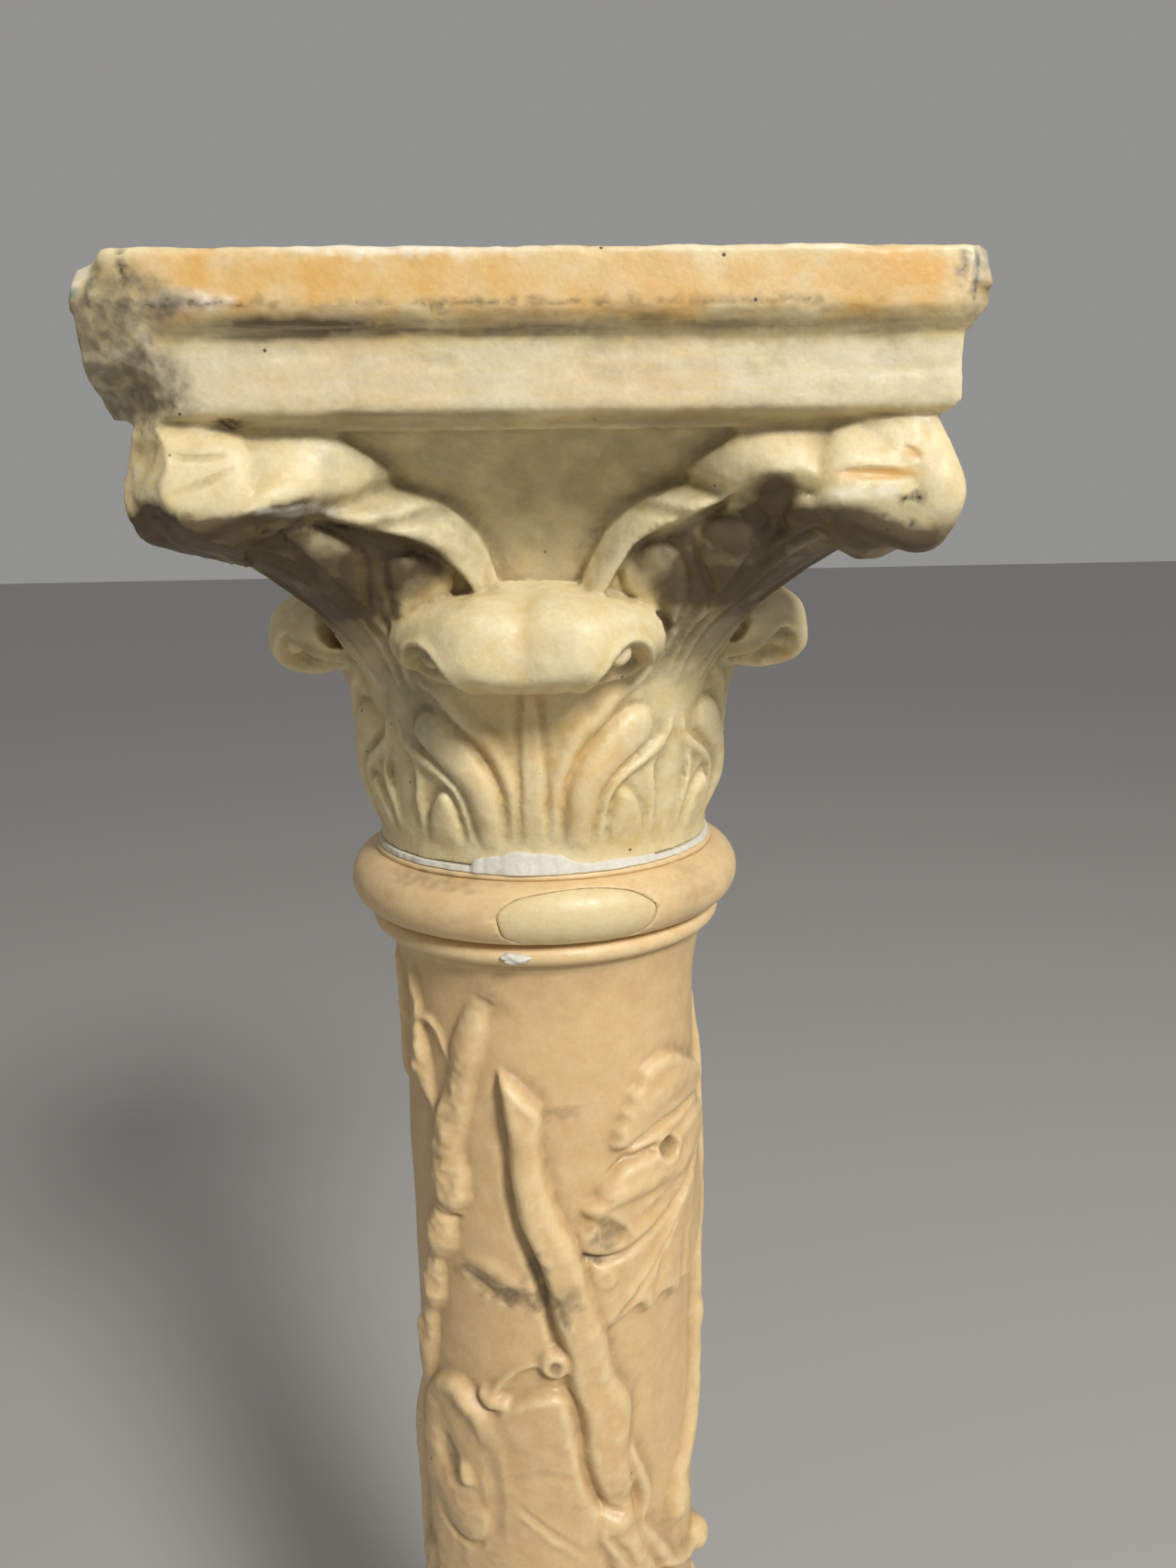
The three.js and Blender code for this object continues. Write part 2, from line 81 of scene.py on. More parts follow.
def through(points, share):
    """Places on a smooth line through the points, by shares of the way from 0 to 1"""
    points = np.asarray(points, float)
    place = np.clip(share, 0, 1) * (len(points) - 1)
    low = np.clip(np.asarray(place).astype(int), 0, len(points) - 2)
    part = (place - low)[..., None]
    a, b = points[np.maximum(low - 1, 0)], points[low]
    c, d = points[low + 1], points[np.minimum(low + 2, len(points) - 1)]
    return 0.5 * (2 * b + (c - a) * part + (2 * a - 5 * b + 4 * c - d) * part**2
                  + (3 * b - a - 3 * c + d) * part**3)


print("halfway up a soft step:", step(0.5, 0, 1))

# %% [markdown]
# Stone worn by hand and weather is never quite even. Seeded random values on a small lattice, blended
# smoothly between its points, give the same gentle unevenness at every run.

# %% Smooth random values
lattice_side = 32
lattice = np.random.default_rng(11).uniform(-1, 1, (lattice_side,) * 3)


def noise(points, size, offset=0.0):
    """Smooth values between -1 and 1 that change over about the given size in mm"""
    place = points / size + offset + 0.37
    low = np.floor(place).astype(int)
    part = place - low
    part = part * part * (3 - 2 * part)
    total = np.zeros(points.shape[:-1])
    for corner in itertools.product((0, 1), repeat=3):
        weight = np.prod(np.where(corner, part, 1 - part), axis=-1)
        at = (low + corner) % lattice_side
        total += weight * lattice[at[..., 0], at[..., 1], at[..., 2]]
    return total


print("spread of the random values:", round(float(lattice.std()), 2))

# %% [markdown]
# The chisel's marks are drawn on a flat chart of each surface and then wrapped over it. A chart keeps two
# coordinates for every point, and how many millimetres a small move in them covers on the stone, so a groove
# 2 mm wide on the chart is 2 mm wide on a leaf that swells and leans. Two marks do nearly all the work. A
# stroke is a ridge or a groove along a line, like a rib or a stem. A patch is an area inside an outline that
# stands out or is sunk, like a leaf's lobe. Both return how far the stone stands out.

# %% Strokes and raised areas on a chart
Chart = namedtuple("Chart", "x y xx xy yy")


def near_to(chart, path, room):
    """The points of the chart within about so many mm of the box round a path"""
    low, high = np.min(path, axis=0), np.max(path, axis=0)
    room_x, room_y = room / np.sqrt(chart.xx), room / np.sqrt(chart.yy)
    return ((chart.x > low[0] - room_x) & (chart.x < high[0] + room_x)
            & (chart.y > low[1] - room_y) & (chart.y < high[1] + room_y))


def only(chart, chosen):
    return Chart(*(np.broadcast_to(part, chart.x.shape)[chosen] for part in chart))


def distance_to(chart, line):
    """How many mm each point is from a line of points, and how far along the line that is, from 0 to 1"""
    best = np.full(chart.x.shape, 1e9)
    place = np.zeros(chart.x.shape)
    for i, ((ax, ay), (bx, by)) in enumerate(zip(line[:-1], line[1:])):
        rx, ry, px, py = bx - ax, by - ay, chart.x - ax, chart.y - ay
        run = np.maximum(chart.xx * rx * rx + 2 * chart.xy * rx * ry + chart.yy * ry * ry, 1e-12)
        part = chart.xx * px * rx + chart.xy * (px * ry + py * rx) + chart.yy * py * ry
        part = np.clip(part / run, 0, 1)
        px, py = px - part * rx, py - part * ry
        gap = chart.xx * px * px + 2 * chart.xy * px * py + chart.yy * py * py
        nearer = gap < best
        best = np.where(nearer, gap, best)
        place = np.where(nearer, (i + part) / (len(line) - 1), place)
    return np.sqrt(np.maximum(best, 0)), place


def level(values, place):
    """The value at each place along a line, from a list spread evenly over it"""
    return np.interp(place, np.linspace(0, 1, len(values)), values)


def stroke(chart, path, width, height, sharp=1.0, samples=60):
    """A ridge along a line, or a groove where the height is below 0. Width is half the ridge's width"""
    total = np.zeros(chart.x.shape)
    near = near_to(chart, path, np.max(width) * 1.3 + 1)
    if near.any():
        distance, place = distance_to(only(chart, near), through(path, np.linspace(0, 1, samples)))
        spread = np.clip(distance / np.maximum(level(width, place), 0.05), 0, 1)
        total[near] = level(height, place) * (1 - spread**2) ** sharp
    return total


def area(chart, corners, samples=64):
    """How many mm each point lies inside a closed outline. Points outside it have values below 0"""
    total = np.full(chart.x.shape, -99.0)
    near = near_to(chart, corners, 6)
    if near.any():
        outline = through(np.vstack([corners, corners[:1]]), np.linspace(0, 1, samples))
        part = only(chart, near)
        within = np.zeros(part.x.shape, bool)
        for (ax, ay), (bx, by) in zip(outline[:-1], outline[1:]):
            if ay != by:
                crossing = ax + (part.y - ay) * (bx - ax) / (by - ay)
                within ^= ((ay > part.y) != (by > part.y)) & (part.x < crossing)
        total[near] = np.where(within, 1, -1) * distance_to(part, outline)[0]
    return total


def rounded(depth, edge):
    """0 outside an area, rising over the edge's width to 1 like the side of a pebble"""
    return np.sqrt(1 - (1 - np.clip(depth / edge, 0, 1)) ** 2)


def lobe(chart, corners, height, edge, sag=0.0):
    """A raised area with a rounded edge, which may sag towards its middle"""
    depth = area(chart, corners)
    return height * rounded(depth, edge) - sag * step(depth, edge, edge * 4)


line = [(-5.0, 0.0), (5.0, 0.0)]
here = Chart(np.zeros((1, 1)), np.zeros((1, 1)), 1.0, 0.0, 1.0)
print("a stroke's height on its own line:", stroke(here, line, [2], [3]))

# %% [markdown]
# A surface drawn as a grid of points becomes a closed body when its border is fanned to one point inside
# the stone. Several such bodies that overlap can then be fused by a voxel remesh, which is how the leaves
# grow out of the bell with no seam, as they do when all of it is cut from one block.

# %% Helpers for meshes
def grid_triangles(rows, columns, wrap=False):
    """Triangles over a grid of points. A wrapped grid's last column joins its first"""
    i, j = np.meshgrid(np.arange(rows - 1), np.arange(columns if wrap else columns - 1), indexing="ij")
    a, b = i * columns + j, i * columns + (j + 1) % columns
    quads = np.stack([a, b, b + columns, a + columns], -1).reshape(-1, 4)
    return np.vstack([quads[:, [0, 1, 2]], quads[:, [0, 2, 3]]])


def leaf_body(grid, inside):
    """A closed body: the grid is its face, and its border is fanned to a point inside"""
    rows, columns = grid.shape[:2]
    ids = np.arange(rows * columns).reshape(rows, columns)
    rim = np.concatenate([ids[0, :-1], ids[:-1, -1], ids[-1, :0:-1], ids[:0:-1, 0]])
    fan = np.stack([np.roll(rim, -1), rim, np.full(len(rim), rows * columns)], -1)
    corners = np.vstack([grid.reshape(-1, 3), inside])
    return corners, np.vstack([grid_triangles(rows, columns), fan])


def round_body(grid):
    """A closed body from rings of points, each end fanned to its own middle"""
    rows, columns = grid.shape[:2]
    first, last = grid[0].mean(0), grid[-1].mean(0)
    ring = np.arange(columns)
    ahead = np.roll(ring, -1)
    low = np.stack([ahead, ring, np.full(columns, rows * columns)], -1)
    top = (rows - 1) * columns
    high = np.stack([top + ring, top + ahead, np.full(columns, rows * columns + 1)], -1)
    corners = np.vstack([grid.reshape(-1, 3), first, last])
    return corners, np.vstack([grid_triangles(rows, columns, wrap=True), low, high])


def outward(corners, faces):
    """The same faces, turned over if they point into the body"""
    a, b, c = corners[faces[:, 0]], corners[faces[:, 1]], corners[faces[:, 2]]
    volume = (a * np.cross(b, c)).sum()
    return faces if volume > 0 else faces[:, ::-1]


def new_piece(name, bodies):
    """One object from any number of closed bodies"""
    corners = np.vstack([points for points, _ in bodies])
    starts = np.cumsum([0] + [len(points) for points, _ in bodies[:-1]])
    faces = np.vstack([outward(points, tris) + start for (points, tris), start in zip(bodies, starts)])
    mesh = bpy.data.meshes.new(name)
    mesh.vertices.add(len(corners))
    mesh.vertices.foreach_set("co", (corners * MM).astype(np.float32).ravel())
    mesh.loops.add(faces.size)
    mesh.loops.foreach_set("vertex_index", faces.astype(np.int32).ravel())
    mesh.polygons.add(len(faces))
    mesh.polygons.foreach_set("loop_start", np.arange(0, faces.size, 3, dtype=np.int32))
    mesh.update(calc_edges=True)
    mesh.shade_smooth()
    piece = bpy.data.objects.new(name, mesh)
    bpy.context.scene.collection.objects.link(piece)
    return piece


def apply_modifiers(piece):
    depsgraph = bpy.context.evaluated_depsgraph_get()
    changed = bpy.data.meshes.new_from_object(piece.evaluated_get(depsgraph))
    piece.modifiers.clear()
    changed.materials.clear()
    piece.data = changed


def fuse(piece, voxel):
    """Melts overlapping bodies into one skin with cells of the given size in mm"""
    remesh = piece.modifiers.new("fuse", "REMESH")
    remesh.mode = "VOXEL"
    remesh.voxel_size = voxel * MM
    apply_modifiers(piece)


def thin_out(piece, triangles):
    """Spends fewer triangles on flat stone and keeps them for the carving"""
    now = sum(len(face.vertices) - 2 for face in piece.data.polygons)
    if now > triangles:
        decimate = piece.modifiers.new("thin", "DECIMATE")
        decimate.ratio = triangles / now
        apply_modifiers(piece)
    piece.data.shade_smooth()
    print(f"{piece.name}: {now} triangles, kept {len(piece.data.polygons)}")


def points_of(piece):
    values = np.zeros(len(piece.data.vertices) * 3, np.float32)
    piece.data.vertices.foreach_get("co", values)
    return values.reshape(-1, 3).astype(float) / MM


def normals_of(piece):
    values = np.zeros(len(piece.data.vertices) * 3, np.float32)
    piece.data.vertices.foreach_get("normal", values)
    return values.reshape(-1, 3).astype(float)


def move_to(piece, points):
    piece.data.vertices.foreach_set("co", (points * MM).astype(np.float32).ravel())
    piece.data.update()


# %% [markdown]
# The capital's levels are the frame's own. The bell is round at its foot and swells to a square under the
# slab. The slab is a stack of square courses: a plain block on top, a hollow under it, and a flat band
# called the fascia. Each is sampled finely here, so that the broken corner can be pushed into it later.

# %% Levels and the bell
column_height = 1060
capital_height = 228
slab_half, slab_height, cove_height = 150, 20, 7
fascia_half, fascia_height = 143, 25
foot_radius = 77
capital_bottom = column_height - capital_height
fascia_top = column_height - slab_height - cove_height
fascia_bottom = fascia_top - fascia_height
bell_top = fascia_bottom - 4
shaft_top = capital_bottom - 3


def bell_radius(angle, share):
    half = mix(foot_radius, fascia_half - 11, share**5.4)
    power = 2 + 0.5 * share**4 / (1.02 - share)
    return half / (np.abs(np.cos(angle)) ** power + np.abs(np.sin(angle)) ** power) ** (1 / power)


def bell():
    share = np.linspace(0, 1, 120)[:, None]
    angle = np.linspace(0, 2 * np.pi, 360, endpoint=False)[None, :]
    return round_body(polar(bell_radius(angle, share), angle, mix(capital_bottom, bell_top + 3, share)))


print("the capital goes from", capital_bottom, "to", column_height, "mm")

# %% [markdown]
# The slab was sawn and rubbed flat by hand, so its edges are soft and slightly wavy rather than ruled. Its
# profile is a list of half widths and heights, and every ring of points round the square is nudged a
# little where an edge was knocked over the years.

# %% The slab with its hollow and fascia
def square_ring(half, count):
    """Points evenly round a square"""
    side = np.linspace(-1, 1, count, endpoint=False)
    x = np.concatenate([side, np.ones(count), -side, -np.ones(count)])
    y = np.concatenate([-np.ones(count), side, np.ones(count), -side])
    return np.stack([x * half, y * half], -1)


slab_profile = [
    (133, bell_top), (134.5, fascia_bottom - 2.2), (137.5, fascia_bottom - 1.2), (140.5, fascia_bottom),
    (142.4, fascia_bottom + 1.6), (143, fascia_bottom + 4), (143, fascia_top - 1.5), (143.2, fascia_top - 0.4),
    (144.2, fascia_top + 0.5), (145.6, fascia_top + 2.4), (147.4, fascia_top + 5.2),
    (149.2, fascia_top + 6.6), (150, fascia_top + 8), (150, column_height - 1.8),
    (149.4, column_height - 0.5), (148.2, column_height), (141, column_height),
]


def slab():
    profile = np.array(slab_profile)
    run = np.concatenate([[0], np.cumsum(np.hypot(*np.diff(profile, axis=0).T))])
    even = np.linspace(0, run[-1], 68)
    half, height = np.interp(even, run, profile[:, 0]), np.interp(even, run, profile[:, 1])
    rings = np.stack([
        np.column_stack([square_ring(h, 200), np.full(800, z)]) for h, z in zip(half, height)
    ])
    return round_body(rings)


print("courses in the slab's profile:", len(slab_profile))

# %% [markdown]
# An acanthus leaf is given by its spine, from the foot to the curled tip, and by its edge. A spine point is
# how far out and how far down it lies, as shares of the leaf's reach and of the capital's height, and an
# edge point has the half angle as well. A smooth line through these points gives the swelling, leaning
# surface on which the details are then cut.

# %% The leaves' spines and edges
corner_leaf = {
    "reach": 205,
    "spine": [
        (-0.01, 0.985), (0.03, 0.82), (0.08, 0.68), (0.18, 0.59), (0.33, 0.515), (0.5, 0.455),
        (0.68, 0.419), (0.8, 0.43), (0.89, 0.438), (0.96, 0.41), (1, 0.35), (0.95, 0.27),
    ],
    "edge": [
        (8, -0.03, 0.985), (20, 0, 0.79), (34, 0, 0.65), (36, 0.06, 0.55), (35, 0.1, 0.47),
        (30, 0.17, 0.385), (22, 0.3, 0.325), (19, 0.44, 0.28), (15.5, 0.55, 0.245), (9.5, 0.64, 0.225),
        (6, 0.73, 0.215), (3, 0.8, 0.21),
    ],
    "notches": [(0.545, 0.03, 0.13), (0.82, 0.035, 0.12)],
    "inside": (-0.3, 0.263),
    "bend": 1.8,
    "straight_by": 0.4,
    # the tip is carried up to the slab, so that no gap is left behind it
    "closing": 9,
    # the carving leans to one side of the leaf, more so towards the tip
    "lean": [(0.35, 0.0), (0.45, 0.055), (0.6, 0.11), (0.7, 0.14)],
}
middle_leaf = {
    "reach": 120,
    "spine": [
        (-0.07, 0.988), (0.1, 0.86), (0.16, 0.77), (0.24, 0.715), (0.42, 0.662), (0.62, 0.664),
        (0.82, 0.655), (0.95, 0.63), (1, 0.588), (0.94, 0.54), (0.72, 0.508), (0.3, 0.48),
    ],
    "edge": [
        (40.5, -0.07, 0.988), (39.5, 0.08, 0.84), (42.5, 0.1, 0.76), (43, 0.14, 0.68), (37, 0.28, 0.615),
        (33, 0.42, 0.605), (31.5, 0.58, 0.598), (31, 0.66, 0.58), (30.5, 0.68, 0.56), (29.5, 0.62, 0.535),
        (27, 0.45, 0.515), (22, 0.15, 0.495),
    ],
    "notches": [(0.1, 0.03, 0.05)],
    "inside": (-0.3, 0.62),
    "bend": 2.6,
    "straight_by": math.inf,
    "closing": 1,
    "lean": [(0, 0.0), (1, 0.0)],
}
leaf_twist = math.radians(-4)


def leaf(shape, turn, relief, rows=240, columns=170):
    """A leaf's body, with its relief cut into it along the surface's own direction"""
    along = np.linspace(0, 1, rows)[:, None]
    across = np.linspace(-1, 1, columns)[None, :]
    spine = through(shape["spine"], along[:, 0])
    edge = through(shape["edge"], along[:, 0])
    bend = np.abs(across) ** shape["bend"]
    notch = np.ones_like(along)
    for at, width, depth in shape["notches"]:
        notch = notch * (1 - depth * bump(along, at, width))
    share = mix(spine[:, :1], edge[:, 1:2], bend)
    drop = mix(spine[:, 1:], edge[:, 2:], bend) * capital_height
    twist = leaf_twist * np.maximum(0, 1 - along / shape["straight_by"])
    angle = turn + twist + np.radians(edge[:, :1] * notch) * across
    reach = mix(foot_radius + 1, shape["reach"], share)
    smooth = polar(reach, angle, column_height - drop)
    run_along = np.gradient(smooth, 1 / (rows - 1), axis=0)
    run_across = np.gradient(smooth, 2 / (columns - 1), axis=1)
    normal = np.cross(run_across, run_along)
    normal /= np.maximum(np.linalg.norm(normal, axis=-1, keepdims=True), 1e-9)
    if (normal * polar(1.0, angle, 0.0))[rows // 4].sum() < 0:
        normal = -normal
    side = np.broadcast_to(across, angle.shape)
    lean = np.interp(along, *np.transpose(shape["lean"])) * side * (1 - side**2) * 2.6
    chart = Chart(np.abs(side) + lean, np.broadcast_to(along, angle.shape),
                  (run_across**2).sum(-1) + 1e-6, (run_across * run_along).sum(-1) * np.sign(side),
                  (run_along**2).sum(-1) + 1e-6)
    out, cut = relief(chart)
    grid = smooth + polar(out, angle, 0.0) + normal * cut[..., None]
    closing = grid[-1:] * [0.97, 0.97, 1] + [0, 0, shape["closing"]]
    grid = np.concatenate([grid, closing])
    share_in, drop_in = shape["inside"]
    reach_in = mix(foot_radius + 1, shape["reach"], share_in)
    inside = polar(reach_in, turn, column_height - drop_in * capital_height)
    return leaf_body(grid, inside)


print("rows in a leaf's outline:", len(corner_leaf["edge"]))

# %% [markdown]
# Each tall corner leaf has a thick rim that turns over in rounded lobes. Inside the rim the stone is cut
# back, and in each lobe lies a flat cushion shaped like a drop, with a thin deep line cut round it. From the
# foot, long ribs fan out between the drops. Half of the leaf is drawn, and the other half mirrors it. The
# leaf ends in a thick rounded mass under the slab's corner, which is a body of its own, square with the slab.

# %% The corner leaf's relief
rim_border = [
    # share of the way along the leaf, share of the way across at which the rim begins
    (0.26, 0.9), (0.33, 0.85), (0.39, 0.82), (0.43, 0.8), (0.46, 0.77), (0.49, 0.72), (0.51, 0.72),
    (0.55, 0.75), (0.61, 0.7), (0.67, 0.66), (0.72, 0.6), (0.76, 0.45),
]
drops = [
    [(0.35, 0.297), (0.46, 0.31), (0.61, 0.335), (0.73, 0.362), (0.79, 0.395), (0.78, 0.428), (0.71, 0.45),
     (0.6, 0.447), (0.5, 0.415), (0.41, 0.36)],
    [(0.24, 0.34), (0.33, 0.385), (0.46, 0.435), (0.57, 0.48), (0.66, 0.53), (0.685, 0.57), (0.64, 0.595),
     (0.55, 0.58), (0.44, 0.53), (0.33, 0.475), (0.265, 0.42)],
    [(0.22, 0.44), (0.32, 0.5), (0.42, 0.57), (0.5, 0.64), (0.54, 0.7), (0.47, 0.73), (0.39, 0.67),
    (0.3, 0.58)],
]
corner_creases = [
    [(0.44, 0.25), (0.4, 0.29), (0.5, 0.335), (0.6, 0.365)],
    [(0.3, 0.22), (0.3, 0.28), (0.3, 0.33), (0.36, 0.37)],
    [(0.2, 0.2), (0.225, 0.29), (0.19, 0.35), (0.2, 0.42)],
    [(0.1, 0.2), (0.13, 0.3), (0.12, 0.4), (0.13, 0.5), (0.2, 0.6), (0.3, 0.7)],
]


def corner_relief(chart):
    side, along = chart.x, chart.y
    border = np.interp(along, *np.transpose(rim_border))
    across_rim = (side - border) / (1 - border)
    started = step(along, 0.24, 0.34)
    open_part = step(0.8 - along, 0, 0.1)
    out = started * 9.5 * step(across_rim, -0.02, 0.28) * (1 - 0.5 * step(across_rim, 0.5, 1.1))
    out -= started * open_part * 4.5 * step(-across_rim, -0.02, 0.1) * step(side, 0.1, 0.6)
    upper_lobe = step(along, 0.498, 0.508) * (1 - step(along, 0.52, 0.64))
    out += (3.5 * upper_lobe - 2.5 * bump(along, 0.494, 0.012)) * step(across_rim, -0.1, 0.4)
    out *= 1 - 0.9 * step(along, 0.64, 0.78)
    cut = np.zeros(side.shape)
    for outline in drops:
        depth = area(chart, outline)
        cut += 1.8 * rounded(depth, 6) - 2.6 * bump(depth, -0.3, 1.15)
    for path in corner_creases:
        cut += stroke(chart, path, [1.2, 1.9, 1.7, 0.9], [-0.8, -1.8, -1.6, -0.6])
    for first, second in zip(corner_creases[:-1], corner_creases[1:]):
        middle = mix(through(first, np.linspace(0, 1, 4)), through(second, np.linspace(0, 1, 4)), 0.5)
        cut += stroke(chart, middle, [2.5, 3.6, 3.2, 1], [0.8, 1.5, 1.2, 0.3])
    return out, cut


tip_courses = [
    # height from the slab's top, half width
    (-102, 4), (-99, 9), (-96, 14), (-92, 19), (-88, 22.5), (-84, 25), (-79, 26), (-71, 25), (-65, 23),
    (-59, 19.5), (-54, 14.5), (-46, 12),
]


tip_middle = 119


def tip(turn):
    """The thick end of a corner leaf: a rounded block that follows the slab's own corner"""
    courses = through(tip_courses, np.linspace(0, 1, 50))
    around = np.linspace(0, 2 * np.pi, 120, endpoint=False)
    side, face = np.cos(around), np.sin(around)
    outline = np.stack([side, face], -1) / ((np.abs(side) ** 5 + np.abs(face) ** 5) ** (1 / 5))[:, None]
    rings = np.stack([
        np.column_stack([outline * half + [tip_middle, -tip_middle], np.full(120, column_height + z)])
        for z, half in courses
    ])
    rings[..., :2] = rings[..., :2] @ [[math.cos(turn), math.sin(turn)], [-math.sin(turn), math.cos(turn)]]
    return round_body(rings)


print("drops on half a corner leaf:", len(drops))

# %% [markdown]
# The short middle leaf curls over in a heavy lip with two rounded lobes. At each end of the lip the curl
# leaves a hollow with a bead in it, and the leaf's thin edge runs down beside it. Below the lip a rib runs
# down the middle, and to each side a long cushion sweeps down from the edge, with ridges round it and a
# smaller drop at the foot.

# %% The middle leaf's relief
middle_cushions = [
    # outline, height, width of the rounded edge
    ([(0.24, 0.02), (0.25, 0.08), (0.33, 0.145), (0.46, 0.205), (0.6, 0.262), (0.75, 0.262), (0.84, 0.215),
      (0.82, 0.175), (0.68, 0.135), (0.55, 0.095), (0.46, 0.05), (0.44, 0.01)], 4.4, 8),
    ([(0.6, 0.0), (0.58, 0.035), (0.62, 0.07), (0.71, 0.088), (0.82, 0.072), (0.89, 0.04),
     (0.9, 0.0)], 3.6, 5),
]
middle_ridges = [
    # path, half widths and heights
    ([(0.88, 0.35), (0.76, 0.335), (0.55, 0.305), (0.36, 0.235), (0.24, 0.165), (0.16, 0.09), (0.13, 0.02)],
     [3, 4.5, 5, 5, 4.5, 4, 2.5], [1, 2, 2.6, 2.6, 2.2, 1.6, 0.6]),
    ([(1.0, 0.2), (0.95, 0.165), (0.85, 0.14), (0.68, 0.11), (0.55, 0.075), (0.5, 0.035), (0.5, 0.0)],
     [4, 4, 4, 4, 3.8, 3.5, 3], [1.5, 2.6, 3, 3, 2.6, 2, 1.2]),
    ([(0.98, 0.12), (0.975, 0.08), (0.965, 0.04), (0.96, 0.0)], [3, 4, 4, 3.5], [1, 2.4, 2.4, 1.2]),
    ([(0.96, 0.36), (0.965, 0.3), (0.97, 0.24), (0.985, 0.19)], [3.2, 4, 4, 3.4], [1.6, 2.8, 2.8, 1.6]),
]
lip_hollow = [
    (0.36, 0.5), (0.42, 0.585), (0.5, 0.655), (0.59, 0.71), (0.69, 0.725), (0.78, 0.69), (0.83, 0.6),
    (0.84, 0.5), (0.8, 0.41), (0.66, 0.39), (0.48, 0.42),
]
lip_bead = [(0.66, 0.665), (0.62, 0.64)]


def middle_relief(chart):
    side, along = chart.x, chart.y
    lip = step(along, 0.5, 0.68)
    out = lip * (3.0 * bump(side, 0.36, 0.26) - 1.8 * bump(side, 0, 0.11))
    out += 2.0 * bump(along, 0.62, 0.08) * (1 - step(side, 0.3, 0.6))
    out -= 3.5 * bump(along, 0.37, 0.1) * (1 - side**4)
    cut = np.zeros(side.shape)
    for outline, height, edge in middle_cushions:
        depth = area(chart, outline)
        cut += height * rounded(depth, edge) - 1.6 * bump(depth, -0.6, 1.7)
    for path, width, height in middle_ridges:
        cut += stroke(chart, path, width, height, sharp=1.4)
    body = step(0.36 - along, 0, 0.05)
    half_rib = mix(0.1, 0.04, np.clip(along / 0.34, 0, 1))
    from_rib = (side - half_rib) * np.sqrt(chart.xx)
    cut += body * (1.4 * step(-from_rib, -0.8, 1.2) - 1.3 * bump(from_rib, 1.3, 1.6))
    hollow = area(chart, lip_hollow)
    cut -= 8.0 * rounded(hollow, 5) - 1.2 * bump(hollow, -1.5, 2)
    cut += stroke(chart, lip_bead, [4.6], [6.5], sharp=0.6)
    return out, cut * mix(0.3, 1, step(along, 0.01, 0.08))


print("ridges on half a middle leaf:", len(middle_ridges))

# %% [markdown]
# The front left corner of the capital is broken off, from the slab down to the leaf's tip. The break is
# given at several levels by where it meets the front and the left side. Every point beyond that plane is
# pulled straight back to it, along the diagonal, and the new face is roughened, because marble breaks
# along its crystals. The front right corner is only chipped, and the slab's edges are worn. Under the broken
# corner some stone was never cut away between the slab and the leaf, so a post stands there, and two scrapes
# and two cracks mark the front.

# %% The broken corner and the worn edges
break_levels = [
    # height from the slab's top, cut along the front, cut along the left side
    (-116, 112, 112), (-108, 98, 98), (-100, 79, 79), (-95, 59, 59), (-92, 45, 45), (-88, 37, 37),
    (-83, 32, 32), (-77, 29.5, 29.5), (-73, 30, 30), (-67, 33, 33), (-61, 34, 34), (-55, 33, 32),
    (-48.5, 40, 33), (-44, 37.6, 27), (-39, 42, 17), (-34, 40, 11),
    (-27, 30, 8), (-21, 25, 6), (-16, 21.6, 5), (-10, 18.7, 8), (-5, 16.5, 14), (0, 16, 33),
]
# how far in from the corner the uncut stone's outline runs, along the front and along the side
post_outline = [(1, 2.5), (20, 2.5), (27, 9), (27, 34), (2, 34)]


def post():
    """The stone under the slab's front left corner, which the hollow was never cut through"""
    outline = through(np.array(post_outline + post_outline[:1]), np.linspace(0, 1, 121)[:-1]) - slab_half
    height = column_height - np.linspace(50, 14, 25)
    shrink = 1 - 0.04 * np.abs(np.linspace(-1, 1, 25)) ** 4
    middle = outline.mean(0)
    return round_body(np.stack([
        np.column_stack([mix(middle, outline, part), np.full(120, z)]) for part, z in zip(shrink, height)
    ]))


def broken(points):
    """The points with the front left corner pulled back, and how deep each one lay in what is lost"""
    height, front, side = np.transpose(break_levels)
    z = points[:, 2] - column_height
    cut_front, cut_side = np.interp(z, height, front), np.interp(z, height, side)
    a, b = points[:, 0] + slab_half, points[:, 1] + slab_half
    lost = (1 - a / cut_front - b / cut_side) / (1 / cut_front + 1 / cut_side)
    lost = np.where((a < 100) & (b < 100) & (z > -118), lost, -99)
    moved = points + np.maximum(lost, 0)[:, None] * [1, 1, 0]
    rough = 1.6 * noise(moved, 13) + 0.9 * noise(moved, 5.5, 5.3) + 0.4 * noise(moved, 2.6, 9.1)
    return moved + (np.clip(lost, 0, 3) / 3 * (rough + 0.3))[:, None] * [1, 1, 0], lost


def chipped(points):
    """The front right corner of the slab is knocked back, and its edges are nibbled"""
    z = points[:, 2] - column_height
    a, b = slab_half - points[:, 0], points[:, 1] + slab_half
    lost = 5.5 + 0.45 * (z + 6) * (z > -14) - a - b + 1.2 * noise(points, 4)
    lost = np.where(z > -24, np.clip(lost, 0, 20), 0) / 2
    edge = np.maximum(np.abs(points[:, 0]), np.abs(points[:, 1])) - slab_half
    near_edge = step(edge, -3, -0.5) * (bump(z, 0, 2.2) + 0.8 * bump(z, -20, 2))
    nibble = near_edge * np.clip(noise(points, 7, 2.7) + 0.7 * noise(points, 3, 4.1) - 0.15, 0, 1) * 2.4
    moved = points.copy()
    moved[:, 0] -= lost + np.sign(points[:, 0]) * nibble
    moved[:, 1] += lost - np.sign(points[:, 1]) * nibble
    moved[:, 2] -= nibble * 0.5 * (z > -8)
    return moved


